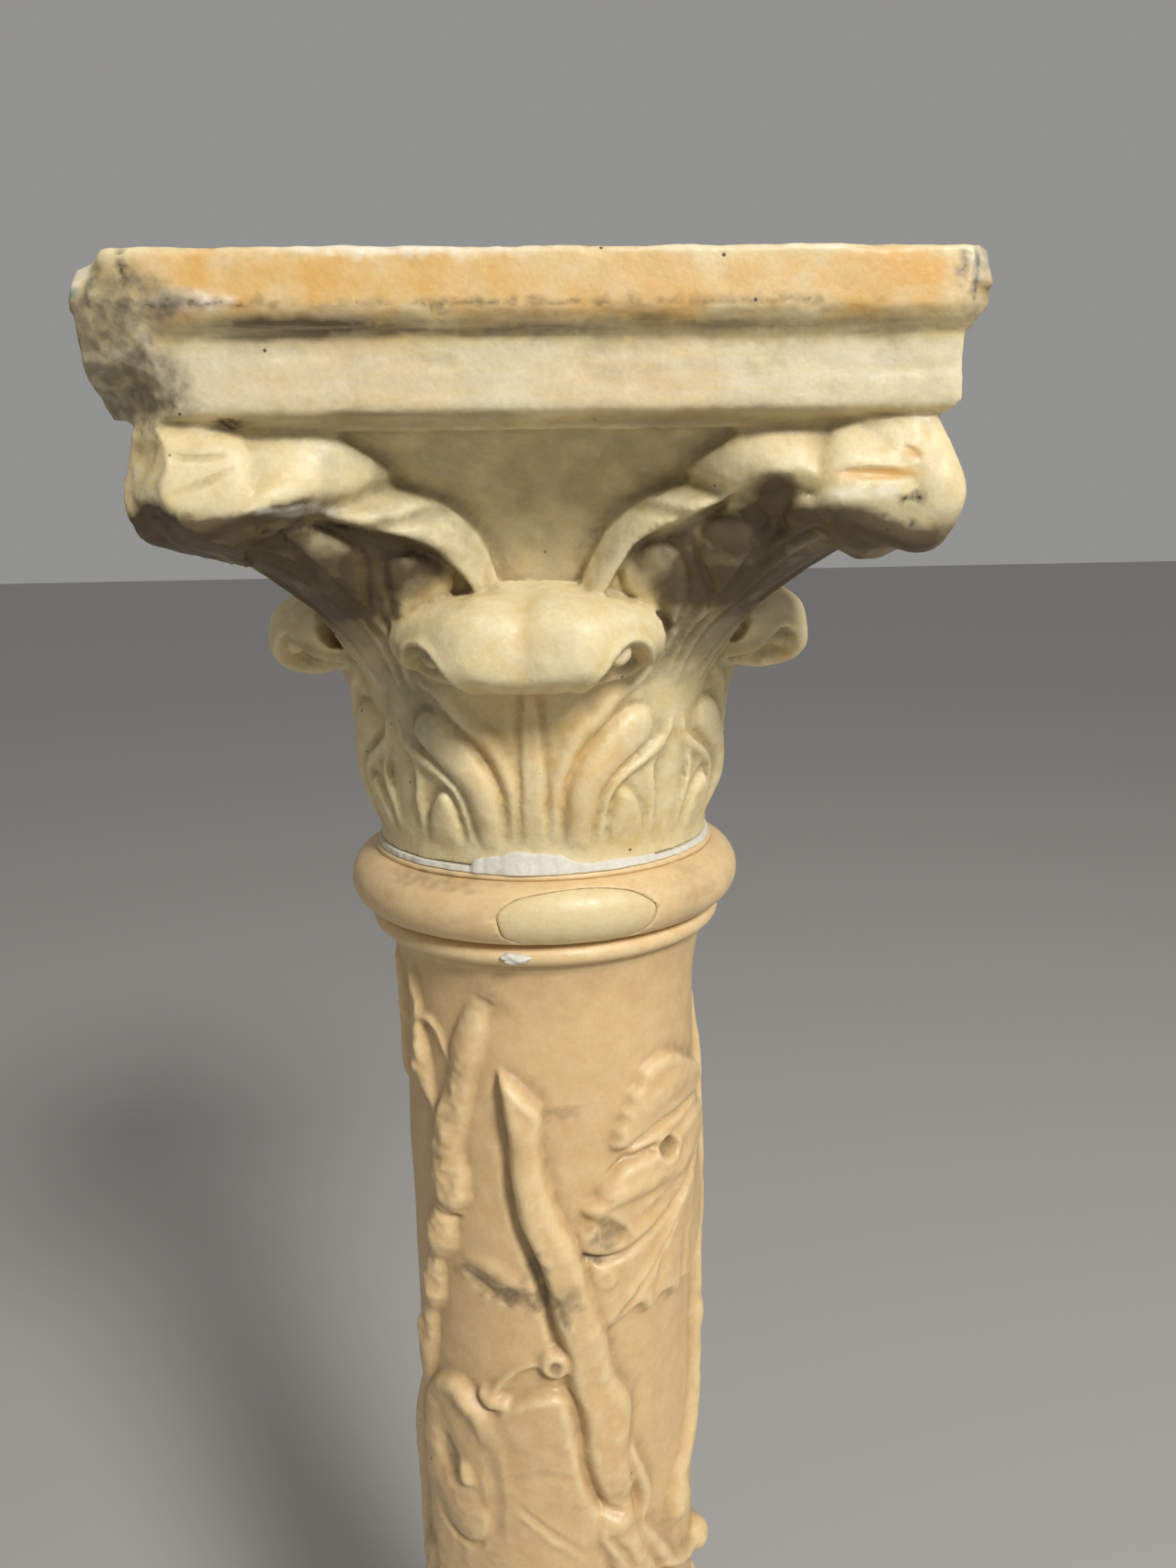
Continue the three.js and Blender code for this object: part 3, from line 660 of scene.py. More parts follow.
front_scars = [
    # path as distance from the middle and height from the slab's top, half widths and heights
    ([(99, -71.5), (106, -72.5), (113, -73), (120, -73.5), (128, -74)],
     [0.6, 2, 2.7, 2.2, 0.6], [0, -1.3, -1.7, -1.4, 0]),
    ([(124, -64), (127, -66), (130, -69)], [0.8, 1.7, 0.8], [-0.4, -1.1, -0.4]),
    ([(-124, -63.5), (-115, -64.8), (-106, -64)], [1, 1.6, 1], [-0.6, -1.3, -0.5]),
    ([(-123, -76.5), (-112, -73), (-103, -68.6)], [1, 1.5, 1], [-0.4, -1, -0.4]),
]
print("levels in the break:", len(break_levels))

# %% [markdown]
# Now the capital can be put together. Four middle leaves and four corner leaves stand round the bell. The
# bodies are broken and chipped while they are still separate, then fused, and a last pass along the normals
# leaves the shallow unevenness of a surface finished with a rasp and by wear.

# %% Carve the capital
quarter = math.pi / 2
bodies = [bell()]
for turn in range(4):
    bodies.append(leaf(middle_leaf, turn * quarter, middle_relief))
    bodies.append(leaf(corner_leaf, turn * quarter + quarter / 2, corner_relief))
    bodies.append(tip(turn * quarter))
bodies.append(post())
corners, faces = slab()
bodies.append((chipped(corners), faces))
bodies = [(broken(corners)[0], faces) for corners, faces in bodies]
capital = new_piece("capital_carved", bodies)
fuse(capital, 1.25)
points, normals = points_of(capital), normals_of(capital)
uneven = 0.45 * noise(points, 14, 1.3) + 0.2 * noise(points, 5, 3.9) + 0.1 * noise(points, 2.6, 7.1)
on_slab = step(np.abs(points[:, :2]).max(1), 140, 142) * step(points[:, 2], 1005, 1008)
uneven += on_slab * 0.2 * noise(points * [0.15, 0.15, 1], 3.2, 8.4)
points = points + normals * uneven[:, None]
# The top is set 0.6 mm low, so that its own unevenness stays below the frame's height
points[:, 2] -= 0.6 * step(points[:, 2], column_height - 2.5, column_height - 0.8)
in_front = (points[:, 1] < -118) & (points[:, 2] > 940)
across_front = Chart(points[in_front, 0], points[in_front, 2] - column_height, 1.0, 0.0, 1.0)
for path, width, height in front_scars:
    points[in_front, 1] -= stroke(across_front, path, width, height)
move_to(capital, points)
thin_out(capital, 198000)
points = points_of(capital)
points[:, :2] = np.clip(points[:, :2], -slab_half, slab_half)
points[:, 2] = np.clip(points[:, 2], capital_bottom, column_height)
move_to(capital, points)

# %% [markdown]
# The shaft was turned round first, with a half-round ring and a small fillet at its top, and the vine was
# carved in low relief afterwards. The lesson does the same: a profile is turned, and the relief is a map of
# how far the stone stands out, drawn on the unrolled shaft. There x is the distance round from the front
# and y is the drop below the shaft's top, both in millimetres.

# %% The shaft's turned profile
shaft_radius, neck_radius, neck_length = 71, 76, 40
ring_radius, ring_height, ring_seat_radius, ring_seat_height = 92, 28, 80, 2
fillet_radius, fillet_height = 83, 10.5
base_height = 130
shaft_bottom = base_height + 0.3
shaft_foot = shaft_bottom + 12
ring_bottom = shaft_top - ring_seat_height - ring_height
fillet_bottom = ring_bottom - fillet_height


def half_round(seat, reach, bottom, height, steps=40):
    """Points of a half-round moulding, from its bottom edge to its top edge"""
    turn = np.linspace(-np.pi / 2, np.pi / 2, steps)
    return np.column_stack([seat + (reach - seat) * np.cos(turn), bottom + height * 0.5 * (1 + np.sin(turn))])


def neck_curve(count=30):
    """The shaft widens towards each end in a soft hollow curve"""
    share = np.linspace(1, 0, count)
    return shaft_radius + (neck_radius - shaft_radius) * share**2.4, (1 - share) * neck_length


def evenly(profile, spacing):
    """The same profile with points at an even spacing"""
    run = np.concatenate([[0], np.cumsum(np.hypot(*np.diff(profile, axis=0).T))])
    even = np.linspace(0, run[-1], int(run[-1] / spacing))
    return np.column_stack([np.interp(even, run, profile[:, 0]), np.interp(even, run, profile[:, 1])])


flare_radius, flare_run = neck_curve()
shaft_profile = np.vstack([
    [(78.5, shaft_bottom), (80, shaft_bottom + 1.5), (80, shaft_foot - 1), (79, shaft_foot)],
    np.column_stack([flare_radius, shaft_foot + 1 + flare_run]),
    np.column_stack([flare_radius, fillet_bottom - flare_run])[::-1],
    half_round(neck_radius, fillet_radius, fillet_bottom, fillet_height),
    half_round(neck_radius + 2, ring_radius, ring_bottom, ring_height)[1:],
    [(ring_seat_radius, shaft_top - ring_seat_height), (ring_seat_radius, shaft_top)],
])
print("the shaft is", round(shaft_top - shaft_bottom, 1), "mm long")

# %% [markdown]
# A pruned trunk climbs the front. It is a ribbon whose left and right edges were read at many heights. Its
# left edge is cut deep and steep, which gives the dark line beside it, and its right side falls softly.

# %% The pruned trunk
trunk_rows = [
    # drop, left edge, right edge, height
    (91, -26, -25, 1), (96, -24.5, -17, 5), (104, -23, -10, 7.5), (111, -22.5, -5, 8), (120, -21, -5.5, 8),
    (129, -20.5, -6, 7.5), (144, -20, -4, 7.5), (164, -17, 2, 8), (177, -12, 9, 8), (187, -8, 12, 8),
    (199, -6, 15, 8), (211, -4, 19, 8), (224, 0, 22.5, 8), (234, 3, 23.5, 8), (249, 4, 27, 7.5),
    (262, 8, 34, 8), (275, 10, 34, 7.5), (289, 10, 33, 7.5), (301, 13, 34, 8), (309, 16, 35, 8),
    (317, 18, 34, 5), (323, 15, 35, 6.5), (333, 14, 37, 8.5), (345, 19, 41, 7.5), (361, 26, 47, 7),
    (370, 30, 51, 7), (410, 48, 68, 7), (455, 68, 88, 7), (505, 87, 105, 6.5), (560, 95, 113, 6.5),
    (610, 90, 106, 6), (645, 81, 91, 3), (655, 84, 86, 1),
]


def ribbon(chart, rows):
    drops = [row[0] for row in rows]
    read = through(rows, np.interp(chart.y, drops, np.linspace(0, 1, len(rows))))
    left, right, height = read[..., 1], read[..., 2], read[..., 3]
    across = np.clip((chart.x - (left + right) / 2) / np.maximum((right - left) / 2, 0.5), -1, 1)
    dome = np.where(across < 0, (1 - np.abs(across) ** 6) ** 0.5, (1 - np.abs(across) ** 2.6) ** 0.6)
    return np.where((chart.y > drops[0]) & (chart.y < drops[-1]), height * dome, 0)


print("rows in the trunk:", len(trunk_rows))

# %% [markdown]
# On the upper right a lobed leaf reaches towards the front. Its lobes overlap like fingers, with a drilled
# hole at their root, where the carver let the drill's mark stay. On the lower left is a broad leaf with a
# notched top. Every other leaf and stem is simpler. A raised area gives each its body, and strokes its veins.

# %% The leaves and stems of the vine
vine_lobes = [
    # outline, height, width of the rounded edge, sag in the middle
    ([(39, 104), (42, 98), (48, 95), (57, 94), (68, 98), (79, 105), (92, 112), (97, 124), (84, 127),
     (57, 127),
      (45, 129), (39, 131), (32, 134), (25, 132), (27, 127), (27.5, 123), (31, 119), (31, 115.5), (34.5, 112),
      (35, 107.5)], 5.4, 6, 1.2),
    ([(31, 141), (24, 147), (20, 151), (19, 154), (13, 158), (11, 161), (15, 166), (10, 171), (9, 178),
     (14, 183),
      (26, 185), (39, 181), (60, 171), (80, 159), (97, 150), (98, 134), (82, 130), (67, 133), (49, 138),
      (37, 140)],
     6.6, 7, 1.2),
    ([(13, 184), (26, 186), (40, 180), (60, 171), (78, 160), (97, 152), (99, 200), (84, 214), (76, 221),
     (69, 219),
      (63, 223), (58, 218), (51, 217), (44, 222), (39, 216), (31, 219), (21, 222), (14, 205)], 4.6, 4, 0.6),
    ([(-84, 300), (-82, 285), (-77, 272), (-69, 263), (-59, 257), (-52, 256), (-46, 259), (-40, 264),
     (-34, 267),
      (-28, 263), (-19, 257), (-8, 253), (2, 254), (7, 261), (9, 276), (12, 295), (16, 310), (20, 330),
      (22, 352),
      (14, 375), (-5, 386), (-35, 389), (-60, 388), (-76, 380), (-80, 350), (-83, 325)], 5.6, 6, 0.8),
    ([(-96, 48), (-91, 58), (-90, 76), (-92, 96), (-95, 118), (-101, 100), (-101, 70)], 3.5, 4, 0),
]
vine_stems = [
    # path, half widths and heights
    ([(37, 137), (50, 134), (66, 131), (84, 129), (98, 131)], [3, 5, 6, 6, 4], [3, 4.2, 4.6, 4.6, 3]),
    ([(-34, 63), (-37, 72), (-41, 86), (-44, 99), (-50, 117), (-55, 135), (-54, 150), (-51, 160), (-50, 166)],
     [5, 7.5, 8.5, 7, 9, 10, 12, 9, 4], [1, 4.5, 6, 4.5, 6, 5.5, 7, 8, 5]),
    ([(-57, 166), (-60, 175), (-62, 184), (-66, 196)], [5, 9, 11.5, 5], [4.5, 6, 7, 3.5]),
    ([(-66, 196), (-69, 207), (-70, 217), (-72, 227)], [5, 8, 8.5, 4], [4, 6, 7, 4]),
    ([(-74, 228), (-78, 242), (-81, 258), (-85, 278)], [5, 8.5, 8, 5], [4, 6.5, 5.5, 3]),
    ([(-86, 276), (-92, 300), (-106, 340), (-118, 390), (-120, 450), (-110, 510), (-90, 565), (-72, 620),
      (-66, 655)], [4, 8, 7, 9, 7, 9, 7, 7, 3], [3, 6, 5, 6.5, 5, 6.5, 5, 5, 2]),
    ([(118, 85), (112, 120), (106, 163), (100, 215), (96, 250), (91, 287), (80, 314), (69, 328)],
     [2, 5, 6, 5.5, 6, 5.5, 5.5, 5], [2, 5, 6, 5.5, 6, 5.5, 5.5, 5.5]),
    ([(69, 328), (67, 338), (65, 349), (62, 356)], [5, 8, 7.5, 3], [5, 8, 7, 2]),
    ([(33, 292), (37, 306), (41, 320), (38, 336), (46, 352), (64, 380)], [3, 4.5, 4.5, 4, 5, 4],
     [4, 7, 6.5, 5, 5, 3]),
    ([(24, 338), (26, 350), (34, 366), (52, 392), (70, 420)], [6, 6.5, 7, 6, 4], [7, 7, 7, 6, 3]),
    ([(56, 372), (70, 381), (84, 386), (94, 388)], [3, 3.4, 3.2, 3], [5, 5.5, 5, 5]),
    ([(190, 70), (176, 130), (184, 200), (204, 270), (214, 345), (202, 420), (180, 490), (170, 560),
     (182, 640)],
     [3, 8, 9, 8, 9, 7.5, 8.5, 7, 4], [2, 6, 7, 5.5, 6.5, 5.5, 6.5, 5, 2]),
    ([(-200, 130), (-176, 180), (-160, 240), (-166, 310), (-180, 380), (-172, 450), (-150, 520)],
     [2, 5, 6.5, 5.5, 6.5, 5, 2], [2, 5, 5.5, 4.5, 5.5, 5, 2]),
    ([(-7, 238), (-14, 239), (-21, 243), (-28, 250),
     (-33, 257)], [2.4, 2, 2, 2.2, 3], [3.5, 2.6, 2.4, 2.6, 4]),
    ([(-37, 259), (-33, 261), (-27, 261)], [4.5, 5, 3.5], [5, 6.5, 5]),
    ([(-76, 48), (-75, 60), (-73, 78), (-72, 90), (-70, 102), (-66, 114), (-63, 123)],
     [0.8, 2.5, 3.4, 6, 6.5, 3.6, 0.8], [1.5, 3.5, 4, 6, 6, 3, 1]),
    ([(-71, 77), (-64, 76), (-58, 80), (-54, 87), (-51, 96)], [2, 1.7, 1.6, 1.6, 1], [4, 3, 2.4, 2.2, 1]),
]
print(len(vine_lobes), "leaves and", len(vine_stems), "stems from the front")

# %% [markdown]
# The last marks are small: veins, folds, cut lines under the leaves' edges, buds with a pressed middle and
# the drilled hole. They are added on top of the bigger forms, so that a vein follows the leaf it lies on.

# %% Veins, folds, buds and the drilled hole
vine_marks = [
    # path, half widths and heights. A height below 0 cuts into the stone
    ([(36, 132), (46, 130), (58, 127), (72, 126), (86, 126)],
     [1.4, 2.2, 2.4, 2.2, 1.2], [-0.8, -1.6, -1.8, -1.4, -0.5]),
    ([(25, 144), (32, 140), (40, 138), (48, 138)], [1.2, 2, 2.4, 2.4], [-1, -2, -2.4, -2.4]),
    ([(15, 156), (21, 156), (27, 153)], [1, 1.5, 1], [-1, -1.8, -0.5]),
    ([(12, 183), (20, 186), (30, 186)], [1.6, 1.8, 1.2], [-2.4, -3, -1]),
    ([(44, 116), (58, 110), (76, 112)], [6, 7, 6], [0.8, 1.4, 0.6]),
    ([(16, 158), (30, 154), (49, 152), (67, 150), (84, 142)], [3, 5, 6, 6, 4], [1.2, 2.2, 2.2, 1.6, 0.5]),
    ([(20, 167), (24, 172), (30, 176)], [5, 6.5, 4], [-2.5, -4, -1.6]),
    ([(36, 171), (48, 167), (62, 160)], [4, 5, 4], [-1, -1.6, -0.6]),
    ([(78, 166), (62, 177), (45, 194), (33, 206), (22, 217)], [2.4, 3, 3, 2.6, 1.6], [1.2, 2, 2.2, 1.8, 0.8]),
    ([(80, 169), (63, 181), (47, 198), (35, 210),
     (24, 220)], [1.4, 1.8, 1.8, 1.6, 1], [-1.4, -2, -2, -1.8, -0.8]),
    ([(54, 196), (50, 206), (46, 216)], [2, 2.4, 1.6], [-0.6, -1.2, -0.6]),
    ([(72, 192), (70, 206), (67, 218)], [2, 2.6, 1.6], [-0.6, -1.4, -0.6]),
    ([(-35, 59), (-30, 61), (-25, 63)], [1.2, 1.6, 0.9], [-1.6, -2.2, -0.8]),
    ([(-60, 168), (-54, 171), (-48, 168), (-44, 160)], [1.6, 2, 1.8, 1], [-2, -2.8, -2, -0.8]),
    ([(-64, 264), (-53, 262), (-44, 267), (-37, 275), (-32, 288), (-28, 305)], [5, 6, 7, 7, 7, 5],
     [1, 1.6, 2.2, 1.8, 1.1, 0.4]),
    ([(-28, 265), (-19, 259), (-8, 255), (2, 257)], [2.6, 3, 3, 2], [1, 1.4, 1.4, 0.6]),
    ([(-75, 280), (-72, 300), (-71, 325)], [8, 9, 7], [1, 1.2, 0.4]),
    ([(-61, 296), (-58, 304), (-55, 311)], [6, 8, 6], [-1.4, -2.8, -1.4]),
    ([(-49, 303), (-47, 308)], [4.4, 4.6], [3, 3.4]),
    ([(-54, 323), (-49, 331)], [14, 15], [2.4, 2.6]),
    ([(-66, 340), (-56, 346), (-43, 344), (-34, 333)], [1.6, 2.2, 2.2, 1.2], [-1, -2.2, -2, -0.6]),
    ([(-34, 272), (-33, 295), (-32, 318), (-34, 345)], [4, 5, 5, 4], [-0.6, -1.2, -1.2, -0.5]),
    ([(-20, 315), (-8, 326), (8, 340)], [1.4, 1.8, 1.2], [-0.7, -1, -0.5]),
    ([(-20, 319), (-8, 330), (8, 344)], [2.4, 3, 2], [0.4, 0.7, 0.3]),
    ([(-22, 300), (-8, 296), (4, 298)], [3, 4, 3], [-0.5, -0.8, -0.4]),
    ([(-50, 197), (-42, 200), (-34, 204), (-26, 206), (-16, 207)],
     [1.8, 2.4, 3, 2.6, 2], [-0.6, -1.2, -1.8, -1.4, -0.5]),
    ([(-46, 190), (-34, 192), (-24, 196), (-16, 200)], [3, 6, 6, 4], [0.5, 1.6, 1.8, 0.8]),
    ([(-5, 112), (4, 110), (14, 111)], [0.9, 1.2, 0.8], [-0.5, -0.8, -0.4]),
    ([(-27, 96), (-24, 130), (-21, 160), (-12, 186), (-7, 205), (-2, 230)], [2.4, 3, 3.2, 3.6, 4, 3],
     [-0.6, -1.2, -1.5, -2.6, -3.2, -2.2]),
    ([(0, 250), (5, 262), (8, 282), (11, 300), (17, 316), (26, 322)], [2, 3.6, 3.4, 3.4, 3.6, 2.4],
     [-1, -3, -3.2, -3.2, -3.4, -1.6]),
    ([(-23, 97), (-16, 102), (-9, 109), (-6, 116)], [2.2, 2.8, 2.8, 2], [0.8, 1.4, 1.6, 0.4]),
    ([(-18, 106), (-15, 124), (-13, 150), (-6, 180), (3, 200)], [3, 4, 4, 4, 4], [1.2, 0.8, 1.2, 0.8, 0.4]),
    ([(-8, 196), (-2, 203), (2, 214)], [2.4, 3, 2], [-1.6, -2.6, -1]),
    ([(20, 333), (27, 344), (32, 356)], [1.6, 2.4, 1.6], [-1.4, -2.4, -1.2]),
]
vine_buds = [
    # distance round, drop, radius, height, depth of the pressed middle
    (21, 195, 7.6, 7, 2.2), (-2.5, 238, 7.6, 8, 5.5), (9, 311, 4.8, 8, 2.4), (25, 329, 10, 9.5, 0),
    (95, 388, 9.5, 9, 0), (66, 345, 7, 9.5, 2.6),
]
drilled_hole = (56, 141, 4.6, 3.9, 10)


def bud(chart, around, drop, radius, height, press):
    distance = np.hypot(chart.x - around, chart.y - drop)
    dome = np.sqrt(np.clip(1 - (distance / radius) ** 2, 0, 1))
    return height * dome - press * bump(distance, 0, radius * 0.42)


print("marks:", len(vine_marks), "buds:", len(vine_buds))

# %% [markdown]
# The photo shows the front alone. The sides and the back carry the same vine, kept plainer: stems with
# lobed leaves, each made from one root point and one tip.

# %% Plain leaves for the sides and the back
plain_leaves = [
    # root's distance round, root's drop, the side it leans to
    (186, 150, 1), (196, 225, -1), (212, 320, 1), (196, 430, -1), (176, 520, 1), (-168, 215, 1),
    (-170, 330, -1),
    (-116, 420, 1), (-104, 530, -1), (-76, 600, 1), (52, 400, -1), (88, 480, 1),
]
lobe_shares = [0, 0.12, 0.3, 0.42, 0.56, 0.68, 0.84, 1]
lobe_widths = [2.5, 8, 13.5, 10, 12.5, 8.5, 6, 0.6]


def plain_leaf(around, drop, side):
    """The outline, the midrib and four side veins of a lobed leaf"""
    root, tip = np.array([around, drop]), np.array([around + 36 * side, drop - 47])
    run = tip - root
    length = np.hypot(*run)
    along, out = run / length, np.array([-run[1], run[0]]) / length
    arm = [root + along * length * share for share in lobe_shares]
    left = [point + out * width for point, width in zip(arm, lobe_widths)]
    right = [point - out * width * 0.92 for point, width in zip(arm, lobe_widths)]
    veins = [(root + along * length * (at - 0.16), root + along * length * at + out * reach)
             for at in (0.36, 0.62) for reach in (9, -8.4)]
    return left + right[::-1], (root, tip), veins


print("plain leaves:", len(plain_leaves))

# %% [markdown]
# The relief is put together in one function. Where two forms meet, the higher one wins, as it does when both
# are left standing in one block. Veins and cuts are added afterwards. The plain leaves near the back are drawn
# three times, once round apart, so that none of them is cut by the edge of the unrolled chart.

# %% The whole relief of the shaft
unrolled_radius = 72
once_round = 2 * math.pi * unrolled_radius


def vine(x, y):
    """How far the carving stands out at each point of the unrolled shaft"""
    chart = Chart(x, y, 1.0, 0.0, 1.0)
    raised = ribbon(chart, trunk_rows)
    marks = np.zeros(x.shape)
    for outline, height, edge, sag in vine_lobes:
        raised = np.maximum(raised, lobe(chart, outline, height, edge, sag))
    for path, width, height in vine_stems:
        raised = np.maximum(raised, stroke(chart, path, width, height, sharp=0.6))
    for shift in (-once_round, 0, once_round):
        moved = Chart(x + shift, y, 1.0, 0.0, 1.0)
        for root in plain_leaves:
            outline, rib, veins = plain_leaf(*root)
            raised = np.maximum(raised, lobe(moved, outline, 5.5, 5, 0.8))
            marks += stroke(moved, rib, [1.5, 1.8, 0.8], [-1.6, -1.6, -0.6], samples=8)
            for vein in veins:
                marks += stroke(moved, vein, [1.2, 1.2, 0.6], [-0.9, -0.9, -0.3], samples=6)
    for around, drop, radius, height, press in vine_buds:
        raised = np.maximum(raised, bud(chart, around, drop, radius, height, press))
    for path, width, height in vine_marks:
        marks += stroke(chart, path, width, height)
    around, drop, half_width, half_height, depth = drilled_hole
    hole = np.hypot((x - around) / half_width, (y - drop) / half_height)
    marks += 1.6 * bump(hole, 1.4, 0.3) - depth * step(1.12 - hole, 0, 0.3)
    return np.maximum(raised + marks, -4)


print("the trunk stands out", round(float(vine(np.array([[-13.0]]), np.array([[144.0]]))[0, 0]), 1), "mm")

# %% [markdown]
# The profile is now turned, with points about 1 mm apart, and each point is pushed out by the relief. Two
# rounds of smoothing take the drawn look off the edges, as rubbing with abrasive does. The stone's own waviness
# comes last: slow over the plain shaft, and quick and knotty on the old stem at the left.

# %% Turn and carve the shaft
columns = 452
profile = evenly(shaft_profile, 1.0)
angle = (np.arange(columns) / columns * 2 - 1) * np.pi
radius, height = profile[:, :1], profile[:, 1:]
x, y = np.broadcast_arrays(angle[None, :] * unrolled_radius, shaft_top - height)
on_trunk = (height > shaft_foot + 2) & (height < fillet_bottom - 4)
relief = vine(x, y)
for _ in range(2):
    relief = (2 * relief + np.roll(relief, 1, 1) + np.roll(relief, -1, 1)) / 4
    relief[1:-1] = (2 * relief[1:-1] + relief[:-2] + relief[2:]) / 4
relief = np.where(on_trunk, relief, 0)
places = polar(radius, angle[None, :], height)
uneven = 0.6 * noise(places, 34, 1.7) * on_trunk
uneven += 0.22 * noise(places, 11, 4.2) + 0.08 * noise(places, 4, 7.7)
knotty = np.clip(relief, 0, 6) * step(-x, 38, 48) * step(x, -100, -88) * step(-y, -262, -240)
uneven += np.clip(relief, 0, 6) * (0.12 * noise(places, 11, 5.5) + 0.05 * noise(places, 4.5, 3.6))
uneven += knotty * (0.3 * noise(places, 7, 2.5) + 0.12 * noise(places, 3.4, 6.2))
shaft = new_piece("shaft_carved", [round_body(polar(radius + relief + uneven, angle[None, :], height))])
print("the carving stands out by up to", round(float(relief.max()), 1), "mm")

# %% [markdown]
# The ring was once damaged in front, and a neat block of paler marble was let into it and ground flush. A
# cutter with the block's own outline takes the seat out of the shaft, 0.3 mm wider all round, and the block
# follows the ring's half-round face. The boolean's manifold solver is quick and keeps the mesh closed.

# %% The patch and its seat
patch_half_width, patch_half_height, patch_depth = 33.5, 12.2, 9
patch_turn = math.radians(7.5)
patch_middle = ring_bottom + ring_height / 2 - 1
patch_sides = 160


def patch_outline(share, grow=0.0):
    """The long rounded outline, shrunk to a share of itself, as distances across and up"""
    turn = np.arange(patch_sides) / patch_sides * 2 * np.pi
    across, up = np.cos(turn), np.sin(turn)
    wave = 1 + 0.012 * np.sin(5 * turn + 1) + 0.008 * np.sin(9 * turn)
    x = (patch_half_width + grow) * np.sign(across) * np.abs(across) ** 0.8 * wave * share
    z = (patch_half_height + grow) * np.sign(up) * np.abs(up) ** 0.85 * wave * share
    return x, z


def turned_to(x, y, z, turn):
    return np.stack([x * math.cos(turn) - y * math.sin(turn), x * math.sin(turn) + y * math.cos(turn), z], -1)


def on_ring(x, z, lift=0.0):
    """The place on the ring's face at a distance across and up, as seen from the patch's own front"""
    up = np.clip((patch_middle + z - ring_bottom) / ring_height * 2 - 1, -1, 1)
    reach = neck_radius + 2 + (ring_radius - neck_radius - 2) * np.sqrt(1 - up**2) + lift
    return turned_to(x, -np.sqrt(reach**2 - x**2), patch_middle + z, patch_turn)


face = [on_ring(*patch_outline(share), -0.25 * share**14) for share in np.linspace(0.02, 1, 30)]
x, z = patch_outline(1)
inner_face = np.full(patch_sides, patch_depth - ring_radius)
back = [turned_to(x * share, inner_face, patch_middle + z * share, patch_turn) for share in (1, 0.02)]
patch = new_piece("ring_patch_inlay", [round_body(np.stack(face + back))])
x, z = patch_outline(1, 0.3)
cutter_rings = [turned_to(x, np.full(patch_sides, reach), patch_middle + z, patch_turn)
                for reach in (patch_depth - ring_radius - 0.3 - 9e-3, -ring_radius - 20)]
cutter = new_piece("patch_cutter", [round_body(np.stack(cutter_rings))])
seat = shaft.modifiers.new("seat", "BOOLEAN")
seat.operation, seat.solver, seat.object = "DIFFERENCE", "MANIFOLD", cutter
bpy.context.view_layer.update()
apply_modifiers(shaft)
bpy.data.objects.remove(cutter)
thin_out(shaft, 198000)

# %% [markdown]
# White plaster was trowelled into the joint when the capital was set. At the front it was pushed up against
# the stone in a ragged band, and at the sides it is only a thin line. Its section is a ring whose outer
# edge and top wander with the angle. The dab on the fillet is a small lump of the same plaster.

# %% Plaster in the joint and on the fillet
bed_top, bed_bottom, bed_radius = 831.7, 829.3, 78.8
angle = np.arange(720) / 720 * 2 * np.pi
facing = ((angle + np.pi) % (2 * np.pi)) - np.pi
pushed_up = [
    # degrees round from the front, and how far the plaster was pushed up the stone
    (-25, 0), (-23.5, 3.2), (-19, 5.2), (-10, 7.2), (-2, 7.2), (4, 5.4), (9, 2.4), (13, 1.4), (20, 1.9),
    (28, 1.3),
    (36, 1.2), (38, 0),
]
front = np.interp(np.degrees(facing), *np.transpose(pushed_up))
ragged = noise(polar(80, angle, 0.0), 9, 2.2)
ragged_fine = noise(polar(80, angle, 5.0), 3.2, 6.1)
bed_out = bed_radius + 0.4 * ragged_fine + 0.34 * front
bed_rise = bed_top + front * (1 + 0.12 * ragged + 0.1 * ragged_fine)
bed_section = [
    # share of the way from the bed's foot to its top edge, distance in from the outer edge
    (0, 24), (0, 0.8), (0.05, 0.2), (0.15, 0), (0.5, 0), (0.96, 0), (1, 0.9),
]
rings = []
for share, inset in bed_section:
    height = mix(bed_bottom, bed_rise, share)
    rings.append(polar(bed_out - inset - 0.2 * (height - bed_bottom), angle, height))
rings.append(polar(np.full(720, 73.0), angle, np.full(720, bed_top)))
rings.append(polar(np.full(720, 50.0), angle, np.full(720, bed_top)))
bed = np.stack([mix(a, b, share) for a, b in zip(rings[:-1], rings[1:]) for share in np.linspace(0, 1, 6)[:-1]]
               + [rings[-1]])
lumps = 0.3 * noise(bed, 11, 3.3) + 0.12 * noise(bed, 2.4, 8.8)
outer = np.hypot(bed[..., 0], bed[..., 1]) > 74.5
bed[..., :2] *= (1 + np.where(outer, lumps, 0) / 80)[..., None]
joint_plaster = new_piece("joint_plaster_squeezed", [round_body(bed)])

dab_angle, dab_half_width, dab_half_height, dab_thickness = math.radians(-10.5), 6.2, 2.7, 2.6
turn = np.arange(96)[None, :] / 96 * 2 * np.pi
share = np.linspace(0.02, 1, 24)[:, None]
wave = 1 + 0.12 * np.sin(3 * turn + 0.6) + 0.07 * np.sin(7 * turn)
across, up = share * wave * np.cos(turn), share * wave * np.sin(turn)
dab_seat = neck_radius + (fillet_radius - neck_radius) * np.sqrt(1 - np.clip(up * 0.48, -1, 1) ** 2)
dab_middle = fillet_bottom + fillet_height / 2
lump = dab_thickness * np.sqrt(np.clip(1 - share**2, 0, 1))
lump = lump * (0.85 + 0.3 * np.sin(4 * across) * np.cos(3 * up))
dab_angles = dab_angle + across * dab_half_width / fillet_radius
dab_face = polar(dab_seat + 0.4 + lump, dab_angles, dab_middle + up * dab_half_height)
dab_back = polar(dab_seat + 0.25, dab_angles, dab_middle + up * dab_half_height)
dab = new_piece("fillet_dab_lump", [round_body(np.concatenate([dab_face, dab_back[::-1]]))])
